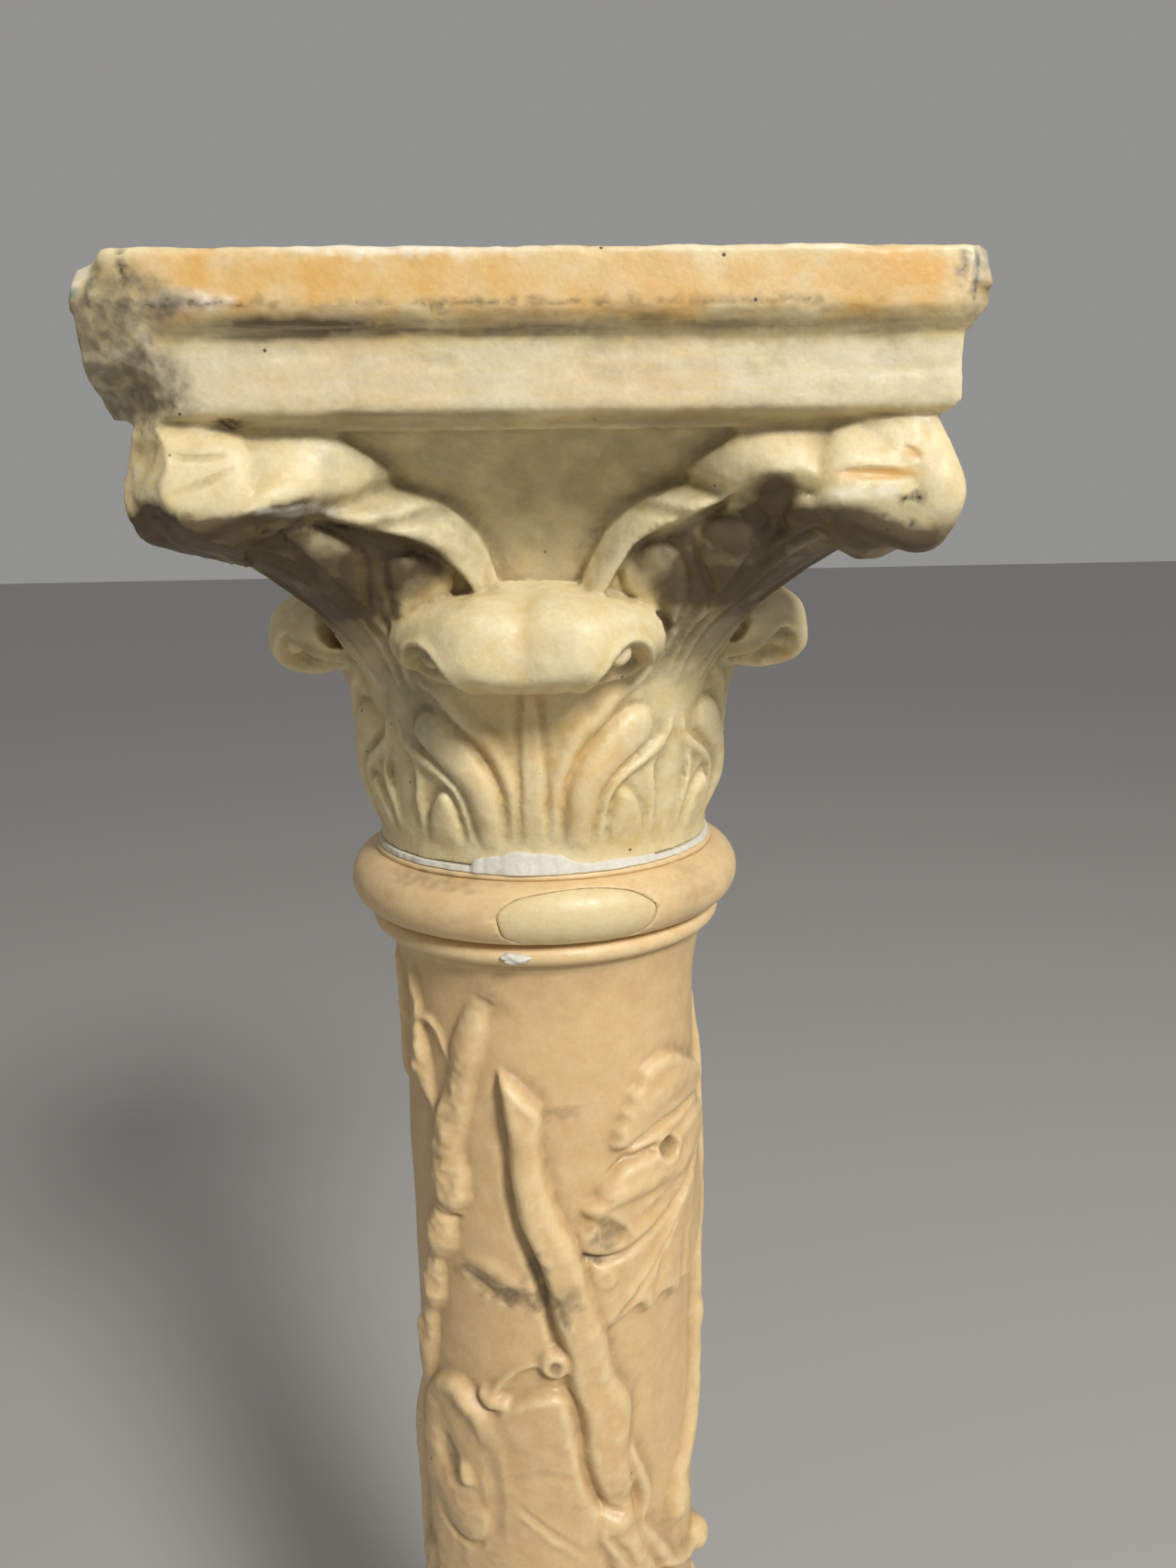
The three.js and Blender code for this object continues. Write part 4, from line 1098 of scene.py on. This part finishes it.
print("plaster stands out to", round(float(bed_out.max()), 1), "mm")

# %% [markdown]
# The photo cuts the column off before its base, so the base is a plain one of the usual kind: a square
# plinth, a large round moulding, a hollow between two fillets, and a smaller round moulding. The plinth and
# the turned part are fused, and the whole is worn a little at its edges.

# %% The base
plinth_half, plinth_height = 140, 48
lower_ring_radius, lower_ring_height = 118, 34
upper_ring_radius, upper_ring_height = 94, 20
lower_top = plinth_height + lower_ring_height
upper_bottom = base_height - upper_ring_height
hollow_bottom, hollow_top = lower_top + 6, upper_bottom - 4
waist = upper_ring_radius - 12
turn = np.linspace(0, np.pi / 2, 24)
hollow = np.column_stack([mix(lower_ring_radius - 14, waist, np.sin(turn)),
                          mix(hollow_top, hollow_bottom, np.cos(turn))])
base_profile = np.vstack([
    [(lower_ring_radius - 12, plinth_height - 4)],
    half_round(lower_ring_radius - 12, lower_ring_radius, plinth_height, lower_ring_height),
    [(lower_ring_radius - 13, lower_top + 0.4), (lower_ring_radius - 13, hollow_bottom - 1)],
    hollow,
    [(waist + 3, hollow_top), (waist + 3, upper_bottom)],
    half_round(waist + 2, upper_ring_radius, upper_bottom, upper_ring_height),
    [(waist + 1.5, base_height)],
])
profile = evenly(base_profile, 1.2)
angle = np.arange(420)[None, :] / 420 * 2 * np.pi
mouldings = round_body(polar(profile[:, :1], angle, profile[:, 1:]))
plinth_profile = evenly(np.array([
    (136.5, 0), (138.8, 0.6), (140, 2.4), (140, 45.6), (138.8, 47.4), (136.5, 48),
]), 2)
plinth = round_body(np.stack([
    np.column_stack([square_ring(half, 120), np.full(480, z)]) for half, z in plinth_profile
]))
base = new_piece("base_turned", [plinth, mouldings])
fuse(base, 1.8)
points, normals = points_of(base), normals_of(base)
edge = np.maximum(np.abs(points[:, 0]), np.abs(points[:, 1]))
worn = step(edge, 137.5, 139.5) * step(points[:, 2], 43, 47) * np.clip(noise(points, 12, 3.1), 0, 1) * 2.2
points = points + normals * (0.4 * noise(points, 22, 6.4) + 0.12 * noise(points, 6, 1.1) - worn)[:, None]
points[:, :2] = np.clip(points[:, :2], -plinth_half, plinth_half)
points[:, 2] = np.clip(points[:, 2], 0, base_height)
points[:, 2] = np.where(points[:, 2] < 1.0, 0, points[:, 2])
move_to(base, points)
thin_out(base, 120000)

# %% [markdown]
# Each new piece rides with the frame's only body and stands in for its solid.

# %% Join the pieces to the frame
pieces = [
    (capital, "capital", "cream_marble"), (joint_plaster, "joint_plaster", "plaster"),
    (shaft, "shaft", "tan_marble"), (patch, "ring_patch", "patch_marble"),
    (dab, "fillet_plaster_dab", "plaster"), (base, "base", "base_marble"),
]
for piece, node, slot in pieces:
    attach(piece, "root")
    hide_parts(node)
    print(piece.name, "stands for", node, "with", len(piece.data.vertices), "points")

# %% [markdown]
# Old marble is darkest where dust and damp stay, in the bottoms of its cuts, and palest where hands and
# weather rub it, on its ridges. Both can be measured on the mesh itself: each point is compared with the
# average of the points round it, once over a short distance for the fine cuts and once over a long one for
# the deep folds, which get painted shade, a darkening like ambient occlusion. The results are stored on the
# mesh as attributes that a material can read.

# %% Measure the hollows and the ridges
def smoothed(points, edges, rounds):
    count = np.maximum(np.bincount(edges.ravel(), minlength=len(points)), 1)[:, None]
    for _ in range(rounds):
        total = np.zeros_like(points)
        for axis in range(points.shape[1]):
            total[:, axis] = (np.bincount(edges[:, 0], points[edges[:, 1], axis], len(points))
                              + np.bincount(edges[:, 1], points[edges[:, 0], axis], len(points)))
        points = total / count
    return points


def store(piece, name, values):
    attribute = piece.data.attributes.new(name, "FLOAT", "POINT")
    attribute.data.foreach_set("value", np.clip(values, 0, 1).astype(np.float32))


def edges_of(piece):
    ends = np.zeros(len(piece.data.edges) * 2, np.int32)
    piece.data.edges.foreach_get("vertices", ends)
    return ends.reshape(-1, 2)


def measure_hollows(piece, broad_rounds=40):
    points, normals, edges = points_of(piece), normals_of(piece), edges_of(piece)
    near = smoothed(points, edges, 3)
    far = smoothed(near, edges, broad_rounds)
    fine = ((near - points) * normals).sum(1)
    broad = ((far - points) * normals).sum(1)
    store(piece, "cut", smoothed(step(fine, 0.03, 0.45)[:, None], edges, 1)[:, 0])
    # fold is painted shade: it darkens the deep folds as ambient occlusion would
    store(piece, "fold", step(broad, 0.1, 3.2))
    store(piece, "ridge", step(-fine, 0.03, 0.3))
    print(f"{piece.name}: deepest fold {broad.max():.1f} mm, sharpest cut {fine.max():.2f} mm")


for piece in (capital, shaft, patch, joint_plaster, dab, base):
    measure_hollows(piece)

# %% [markdown]
# Some marks belong to one place: the grey broken face, the orange stain left by rusty water on the slab,
# white worn patches, black specks, a green spot, and a dark stain on the trunk. Each place is a soft blob with
# a centre, a size along each axis and a strength. Random values break its edge, so that no blob looks drawn.
# Painted shade under the corner leaves is found from how far the stone faces down, with the small forms
# smoothed away, and the fascia's rasp marks from where it lies. The grey blots paint shade on the bell under
# the slab and add a grey stain with painted shade beside the front leaf, and the capital's soot is partly
# painted shade, in the hollow under the slab and along the fascia's foot.

# %% Marks that belong to one place
def blots(points, places, grain=9.0, ragged=0.9):
    total = np.zeros(len(points))
    rough = ragged * noise(points, grain, 2.9) + 0.5 * ragged * noise(points, grain / 2.6, 6.6)
    for centre, size, strength in places:
        distance = np.sqrt((((points - centre) / size) ** 2).sum(1))
        total = np.maximum(total, strength * step(1.25 - distance + 0.35 * rough, 0, 0.6))
    return total


points, normals = points_of(capital), normals_of(capital)
drop = points[:, 2] - column_height
fragment = blots(points, [((-149, -138, 1053), (7, 13, 6), 1.0)])
lost = broken(points)[1]
fracture = step(lost, -4.5, -2.5) * step(drop, -58, -50) * step(-drop, 3, 8) * (1 - fragment)
store(capital, "fracture", fracture)
# Painted shade: below darkens the corner leaves' undersides where the smoothed stone faces down
soft_normals = smoothed(normals, edges_of(capital), 24)
from_middle = np.minimum(np.abs(points[:, 0]), np.abs(points[:, 1]))
below = step(-soft_normals[:, 2], 0.12, 0.42) * step(drop, -160, -102) * step(-drop, 62, 76)
below *= step(from_middle - mix(75, 36, step(-drop, 80, 98)), -8, 8)
# shaded: blots of painted shade over the leaves' drop fields, under their rims
shaded = blots(points, [
    ((-76, -116, 966), (13, 10, 8), 0.9), ((-50, -102, 953), (12, 10, 10), 0.7),
    ((68, -114, 967), (12, 10, 8), 0.9), ((44, -104, 957), (12, 10, 10), 0.75),
], grain=14, ragged=0.4)
store(capital, "below", np.maximum(below * mix(0.7, 1, step(-points[:, 1], 20, 50)), shaded))
fascia_side = np.maximum(np.abs(points[:, 0]), np.abs(points[:, 1]))
store(capital, "rasped", step(fascia_side, 141, 142) * step(drop, -52, -49) * step(-drop, 28, 31))
store(capital, "orange", blots(points, [
    ((0, -150, 1048.5), (150, 14, 12.5), 0.7), ((-92, -150, 1048), (52, 14, 11), 1.0),
    ((0, -150, 1045), (80, 14, 8), 0.85), ((112, -150, 1048), (36, 16, 12), 1.0),
    ((113, -142, 987), (15, 12, 2.6), 1.0), ((127, -142, 994), (4, 12, 2), 0.8),
    ((0, -92, 882), (46, 28, 36), 0.35), ((-60, -143, 1018), (40, 10, 14), 0.25),
    ((30, -143, 1016), (30, 10, 16), 0.25),
], grain=16, ragged=0.7))
# Soot on the capital, partly painted shade in the hollow under the slab and along the fascia's foot
store(capital, "soot_and_painted_shade", blots(points, [
    ((-75, -146, 1035), (58, 9, 3.4), 1.0), ((20, -146, 1035), (80, 9, 3), 0.8),
    ((110, -146, 1035), (40, 9, 2.6), 0.6), ((-60, -140, 1006), (60, 14, 4), 0.5),
    ((60, -140, 1006), (60, 14, 4), 0.4), ((147, -141, 1046), (5, 34, 14), 0.55),
], grain=10, ragged=0.7))
store(capital, "black", blots(points, [
    ((-104, -140, 1006.5), (6, 9, 1.6), 1.0), ((-123, -136, 986), (2.4, 9, 1.6), 1.0),
    ((125, -140, 979), (7, 9, 1.6), 1.0), ((117, -136, 973), (3, 12, 1.6), 1.0),
    ((128, -134, 970), (2.6, 12, 2.6), 1.0), ((-122, -134, 976.5), (10, 12, 1), 0.9),
    ((-93, -132, 971.5), (7, 12, 1), 0.9), ((-74, -128, 972.5), (11, 16, 1), 0.9),
    ((-131, -148, 1053), (1.6, 8, 5), 0.9), ((-104, -148, 1042), (30, 6, 1.4), 0.7),
    ((-20, -148, 1042), (60, 6, 1.2), 0.6), ((60, -148, 1042), (50, 6, 1.2), 0.5),
    ((139, -149, 1052), (1, 6, 6), 0.7), ((136, -149, 1046), (1, 6, 4), 0.6),
    ((143, -149, 1050), (1.4, 6, 8), 0.8), ((-26, -86, 958), (1.4, 12, 1.2), 0.8),
    ((24, -86, 952), (1.2, 12, 1.2), 0.8),
], grain=2.2, ragged=1.6))
store(capital, "green", blots(points, [((-150, -143, 1047), (4, 7, 2.6), 0.9)], grain=3))
store(capital, "white", blots(points, [
    ((-112, -150, 1043), (14, 8, 4), 0.8), ((-40, -150, 1059), (50, 8, 2.6), 0.9),
    ((60, -150, 1059), (60, 8, 2), 0.5), ((147, -148, 1054), (5, 12, 6), 0.7),
    ((-60, -136, 978), (60, 9, 2.2), 0.7), ((112, -141, 981), (16, 8, 2.6), 0.8),
], grain=6) + 0.9 * fragment)
# grey: painted shade on the bell under the slab, and a grey stain with painted shade beside the front leaf
store(capital, "grey", blots(points, [
    ((-52, -62, 905), (15, 20, 26), 0.95), ((0, -100, 990), (110, 40, 24), 0.8),
    ((60, -72, 935), (14, 20, 26), 0.6), ((-10, -110, 968), (50, 30, 18), 0.6),
]))


def on_shaft(around, drop):
    return tuple(polar(shaft_radius + 3, around / unrolled_radius, shaft_top - drop))


store(shaft, "soot_and_painted_shade", blots(points_of(shaft), [
    (on_shaft(-40, 199), (13, 12, 5), 0.7), (on_shaft(-26, 205), (12, 10, 5), 0.9),
    (on_shaft(-10, 205), (11, 10, 6), 0.9), (on_shaft(-8, 190), (8, 8, 14), 0.8),
    (on_shaft(2, 205), (8, 8, 12), 0.7), (on_shaft(22, 173), (8, 8, 9), 0.75),
    (on_shaft(16, 184), (10, 8, 3), 0.8), (on_shaft(57, 141), (6, 6, 5), 0.6),
    (on_shaft(-32, 61), (12, 8, 8), 0.35), (on_shaft(3, 112), (12, 6, 3), 0.45),
    (on_shaft(-60, 300), (6, 8, 9), 0.5), (on_shaft(-3, 239), (3, 6, 3.4), 0.7),
    ((-55, -70, 826), (34, 20, 3), 0.5), ((60, -62, 815), (12, 16, 12), 0.3),
], grain=5, ragged=1.4))
print("points on the broken face:", int((fracture > 0.5).sum()))

# %% [markdown]
# A material starts from its colours. They are written as the hex values seen on a screen, and one function
# turns them into the linear values that light works with. Another adds a node with its settings and links.

# %% Helpers for materials
def linear(hex_colour):
    """An sRGB hex colour as linear red, green, blue and alpha"""
    parts = [int(hex_colour[i:i + 2], 16) / 255 for i in (1, 3, 5)]
    return [p / 12.92 if p <= 0.04045 else ((p + 0.055) / 1.055) ** 2.4 for p in parts] + [1]


def add_node(tree, kind, values=None, links=None, **settings):
    """A node with its settings, the values typed into its sockets and the sockets linked to it"""
    made = tree.nodes.new(kind)
    for name, value in settings.items():
        setattr(made, name, value)
    for name, value in (values or {}).items():
        made.inputs[name].default_value = value
    for name, socket in (links or {}).items():
        tree.links.new(socket, made.inputs[name])
    return made


print("cream as linear light:", [round(value, 3) for value in linear("#e3d7b4")])

# %% [markdown]
# All the stones here share one recipe, with their own colours and sizes. Large clouds blend two tones, as
# mineral traces do in marble. Middle-sized clouds bring in a third. Then come layers of dirt, stain, wear
# and painted shade, each from one attribute of the mesh, broken up by fine noise. Marble is made of crystals
# about a millimetre across, which would hardly show at this distance, so the grain is drawn 2 mm coarse.

# %% The recipe for marble
def marble(name, spec):
    material = bpy.data.materials.new(name)
    material.use_nodes = True
    tree = material.node_tree
    tree.nodes.clear()
    place = add_node(tree, "ShaderNodeTexCoord").outputs["Object"]
    clouds = []
    for size, detail, spread in spec["clouds"]:
        cloud = add_node(tree, "ShaderNodeTexNoise", {"Scale": 1 / (size * MM), "Detail": detail},
                         {"Vector": place})
        clouds.append(add_node(tree, "ShaderNodeMapRange", {1: 0.5 - spread, 2: 0.5 + spread},
                               {0: cloud.outputs[0]}).outputs[0])
    tone = add_node(tree, "ShaderNodeMix", {6: linear(spec["tones"][0]), 7: linear(spec["tones"][1])},
                    {0: clouds[0]}, data_type="RGBA").outputs[2]
    for cloud, hex_colour, amount in zip(clouds[1:], spec["tones"][2:], spec["amounts"]):
        share = add_node(tree, "ShaderNodeMath", {1: amount}, {0: cloud}, operation="MULTIPLY").outputs[0]
        tone = add_node(tree, "ShaderNodeMix", {7: linear(hex_colour)}, {0: share, 6: tone},
                        data_type="RGBA").outputs[2]
    for attribute, hex_colour, amount, size in spec["layers"]:
        mask = add_node(tree, "ShaderNodeAttribute", attribute_name=attribute).outputs["Fac"]
        sizes = size if isinstance(size, tuple) else (size,) * 3
        stretched = add_node(tree, "ShaderNodeVectorMath", {1: [1 / (part * MM) for part in sizes]}, {0: place},
                             operation="MULTIPLY").outputs[0]
        breaks = add_node(tree, "ShaderNodeTexNoise", {"Scale": 1.0, "Detail": 4}, {"Vector": stretched})
        broken_up = add_node(tree, "ShaderNodeMapRange", {1: 0.35, 2: 0.62, 3: amount * 0.45, 4: amount},
                             {0: breaks.outputs[0]}).outputs[0]
        share = add_node(tree, "ShaderNodeMath", {}, {0: mask, 1: broken_up}, operation="MULTIPLY").outputs[0]
        tone = add_node(tree, "ShaderNodeMix", {7: linear(hex_colour)}, {0: share, 6: tone},
                        data_type="RGBA").outputs[2]
    specks = add_node(tree, "ShaderNodeTexVoronoi", {"Scale": 1 / (spec["speck_spacing"] * MM)},
                      {"Vector": place})
    where = add_node(tree, "ShaderNodeTexNoise", {"Scale": 1 / 0.045, "Detail": 2}, {"Vector": place})
    rare = add_node(tree, "ShaderNodeMapRange", {1: 0.57, 2: 0.62}, {0: where.outputs[0]}).outputs[0]
    dot = add_node(tree, "ShaderNodeMapRange", {1: 0.8 / spec["speck_spacing"], 2: 0.4 / spec["speck_spacing"]},
                   {0: specks.outputs["Distance"]}).outputs[0]
    dotted = add_node(tree, "ShaderNodeMath", {}, {0: dot, 1: rare}, operation="MULTIPLY").outputs[0]
    tone = add_node(tree, "ShaderNodeMix", {7: linear(spec["speck"])}, {0: dotted, 6: tone},
                    data_type="RGBA").outputs[2]
    grain = add_node(tree, "ShaderNodeTexNoise", {"Scale": 1 / (2 * MM), "Detail": 3, "Roughness": 0.7},
                     {"Vector": place}).outputs[0]
    sparkle = add_node(tree, "ShaderNodeMapRange", {1: 0.3, 2: 0.7, 3: 1 - spec["grain"], 4: 1 + spec["grain"]},
                       {0: grain}).outputs[0]
    tone = add_node(tree, "ShaderNodeVectorMath", {}, {0: tone, 1: sparkle}, operation="MULTIPLY").outputs[0]
    waves = add_node(tree, "ShaderNodeTexNoise", {"Scale": 1 / (spec["tool_size"] * MM), "Detail": 2},
                     {"Vector": place}).outputs[0]
    tooled = add_node(tree, "ShaderNodeBump", {"Strength": 0.5, "Distance": spec["tool_depth"] * MM},
                      {"Height": waves}).outputs[0]
    grained = add_node(tree, "ShaderNodeBump", {"Strength": 0.4, "Distance": 0.25 * MM},
                       {"Height": grain, "Normal": tooled}).outputs[0]
    gloss = add_node(tree, "ShaderNodeMapRange", {1: 0.35, 2: 0.65, 3: spec["gloss"][0], 4: spec["gloss"][1]},
                     {0: waves}).outputs[0]
    shader = add_node(tree, "ShaderNodeBsdfPrincipled", {"IOR": 1.49},
                      {"Base Color": tone, "Roughness": gloss, "Normal": grained})
    add_node(tree, "ShaderNodeOutputMaterial", {}, {"Surface": shader.outputs[0]})
    return material


print("the recipe is ready")

# %% [markdown]
# The capital is a cream marble with ochre clouds. It was rasped and rubbed but never polished, which gives the
# eye a soft sheen on the ridges and brown-grey dirt in every cut. The order of the layers is the order in which
# they came: tool marks and damp first, then wear, then rust, soot and the break. Painted shade is laid in among
# them: in the deep folds, under the corner leaves, on the bell under the slab, and in the soot under the slab.

# %% Carved cream marble
# Each layer: the attribute of the mesh, its colour, its strength, and the size in mm at which noise breaks it
capital.data.materials.append(marble("cream_marble_rasped_and_worn", {
    "clouds": [(70, 3, 0.2), (28, 4, 0.18), (9, 4, 0.16)],
    "tones": ["#dccb9a", "#d9c186", "#cfae6a", "#e6dcc0"],
    "amounts": [0.5, 0.35],
    "layers": [
        # grey: a grey stain in part, and painted shade on the bell under the slab
        ("rasped", "#d6ccb2", 0.65, (34, 34, 1.6)), ("grey", "#7d7868", 0.65, 14),
        # fold: painted shade in the deep folds; cut is dirt in the cuts and ridge is wear
        ("fold", "#a08c63", 0.4, 9), ("cut", "#5a4c34", 0.5, 5), ("ridge", "#ecdfb6", 0.45, 5),
        # below: painted shade on the corner leaves' undersides
        ("below", "#5f5036", 1.4, 30),
        # the soot layer is soot, and painted shade in the hollow under the slab and at the fascia's foot
        ("orange", "#dda245", 0.75, 14), ("white", "#f1ecdc", 0.75, 5), ("soot_and_painted_shade", "#4f402a", 0.95, (50, 50, 4)),
        ("fracture", "#766b57", 0.85, 5), ("green", "#4c7a70", 0.8, 3), ("black", "#241e17", 1.0, 2),
    ],
    "speck_spacing": 9, "speck": "#3b352b", "grain": 0.06, "tool_size": 6, "tool_depth": 0.6,
    "gloss": (0.42, 0.6),
}))
print("on the capital:", capital.data.materials[0].name)

# %% [markdown]
# The shaft is a warmer, tan marble, rubbed smooth with abrasive after carving. That closes its surface and
# gives the eye a waxier light, so its roughness is lower and its tool marks are longer and shallower.

# %% Turned and carved tan marble
shaft.data.materials.append(marble("tan_marble_rubbed_smooth", {
    "clouds": [(110, 3, 0.2), (36, 3, 0.18), (10, 4, 0.16)],
    "tones": ["#dcb982", "#d8b27c", "#cba776", "#e6cb9c"],
    "amounts": [0.5, 0.35],
    "layers": [
        # fold: painted shade in the deep folds
        ("fold", "#a88b5e", 0.3, 12), ("cut", "#6d5a3e", 0.45, 6), ("ridge", "#edd6a6", 0.5, 6),
        # on the shaft the soot layer is only the trunk's dark stain
        ("soot_and_painted_shade", "#544a3a", 0.8, 4),
    ],
    "speck_spacing": 17, "speck": "#4d4334", "grain": 0.05, "tool_size": 10, "tool_depth": 0.4,
    "gloss": (0.36, 0.5),
}))
print("on the shaft:", shaft.data.materials[0].name)

# %% [markdown]
# The patch is a yellower, paler piece of the same kind of stone, ground flush with the ring. The eye finds it
# by its colour and by the fine dark seam round it, which is real geometry.

# %% Inlaid patch of paler marble
patch.data.materials.append(marble("pale_marble_ground_flush", {
    "clouds": [(50, 3, 0.2), (16, 3, 0.18), (6, 4, 0.16)],
    "tones": ["#dfca98", "#dac28c", "#d4b87e", "#e6d7ac"],
    "amounts": [0.4, 0.35],
    # fold: painted shade in the deep folds
    "layers": [("fold", "#a98f68", 0.3, 12), ("cut", "#6d5a3e", 0.6, 6)],
    "speck_spacing": 9, "speck": "#5d5140", "grain": 0.06, "tool_size": 8, "tool_depth": 0.3,
    "gloss": (0.4, 0.52),
}))
print("on the patch:", patch.data.materials[0].name)

# %% [markdown]
# The base isn't in the photo, so it gets the shaft's rubbed tan stone, a little greyer, as where feet and damp
# reach it.

# %% Turned base marble
base.data.materials.append(marble("tan_marble_turned_base", {
    "clouds": [(90, 3, 0.2), (30, 3, 0.18), (10, 4, 0.16)],
    "tones": ["#d8bb8d", "#d0b083", "#c4a67c", "#e0c8a0"],
    "amounts": [0.5, 0.35],
    # fold: painted shade in the deep folds
    "layers": [("fold", "#a08762", 0.4, 12), ("cut", "#6d5a3e", 0.6, 6), ("ridge", "#e6d2aa", 0.4, 6)],
    "speck_spacing": 15, "speck": "#4d4334", "grain": 0.05, "tool_size": 10, "tool_depth": 0.4,
    "gloss": (0.4, 0.55),
}))
print("on the base:", base.data.materials[0].name)

# %% [markdown]
# Gypsum plaster, pressed on wet with a trowel, dries dead matt and nearly white. In place of crystals it has
# tiny pits and ridges, so the same recipe is used with small waves and a high roughness.

# %% Trowelled gypsum plaster
plaster = marble("gypsum_plaster_trowelled", {
    "clouds": [(30, 3, 0.2), (9, 4, 0.18), (4, 4, 0.16)],
    "tones": ["#dcd8ca", "#d5d0bf", "#cbc4b0", "#e6e3d8"],
    "amounts": [0.4, 0.35],
    # fold: painted shade in the deep folds
    "layers": [("cut", "#8d8370", 0.5, 4), ("fold", "#b8ae9a", 0.3, 6)],
    "speck_spacing": 7, "speck": "#9d9480", "grain": 0.04, "tool_size": 3, "tool_depth": 0.6,
    "gloss": (0.8, 0.92),
})
joint_plaster.data.materials.append(plaster)
dab.data.materials.append(plaster)
print("materials:", ", ".join(sorted(material.name for material in bpy.data.materials)))

# %% [markdown]
# The column stands on a plain pale floor that runs back past the horizon into a grey of the same kind. One
# soft light hangs above, in front and to the right, as in a gallery, and the pale room fills the shadows.

# %% Floor, light and world
floor_half = 30
floor_mesh = bpy.data.meshes.new("floor")
floor_mesh.from_pydata([
    (-floor_half, -floor_half, 0), (floor_half, -floor_half, 0),
    (floor_half, floor_half, 0), (-floor_half, floor_half, 0),
], [], [(0, 1, 2, 3)])
floor = bpy.data.objects.new("floor", floor_mesh)
bpy.context.scene.collection.objects.link(floor)
floor_paint = bpy.data.materials.new("pale_matt_floor")
floor_paint.use_nodes = True
floor_shader = floor_paint.node_tree.nodes["Principled BSDF"]
floor_shader.inputs["Base Color"].default_value = linear("#bdbbb6")
floor_shader.inputs["Roughness"].default_value = 0.9
floor_mesh.materials.append(floor_paint)

world = bpy.data.worlds.new("soft_room")
world.use_nodes = True
world.node_tree.nodes["Background"].inputs["Color"].default_value = linear("#c9c8c6")
world.node_tree.nodes["Background"].inputs["Strength"].default_value = 0.5
bpy.context.scene.world = world


def soft_light(name, place, target, size, power):
    data = bpy.data.lights.new(name, "AREA")
    data.shape, data.size, data.energy = "DISK", size, power
    lamp = bpy.data.objects.new(name, data)
    lamp.location = place
    towards = np.array(target) - np.array(place)
    lamp.rotation_mode = "QUATERNION"
    lamp.rotation_quaternion = Vector(towards).to_track_quat("-Z", "Y")
    bpy.context.scene.collection.objects.link(lamp)


soft_light("key", (1.2, -2.4, 2.85), (0, 0, 0.92), 0.8, 104)

# The colours typed here should look on the screen as they did in the photo
bpy.context.scene.view_settings.view_transform = "Standard"
print("lights:", len(bpy.data.lights), "and the world at strength 0.5")

# %% [markdown]
# The camera stands close to the capital and looks slightly down, turned by a hair, with a wide lens. These
# values were worked out from the photo's own lines, taking the slab to be 300 mm wide.

# %% Camera
camera_data = bpy.data.cameras.new("camera")
camera_data.lens = 27.086
camera_data.sensor_width = 36
camera_data.clip_start = 0.02
camera = bpy.data.objects.new("camera", camera_data)
camera.location = (-0.0092166, -0.5538277, 0.9685521)
yaw, pitch, roll = math.radians(3.1659), math.radians(11.9738), math.radians(1.0144)
aim = (Matrix.Rotation(-yaw, 4, "Z") @ Matrix.Rotation(math.pi / 2 - pitch, 4, "X")
       @ Matrix.Rotation(-roll, 4, "Z"))
camera.matrix_world = Matrix.Translation(camera.location) @ aim
bpy.context.scene.collection.objects.link(camera)
bpy.context.scene.camera = camera
print("the camera stands", round(-camera.location.y, 2), "m in front of the column's middle")
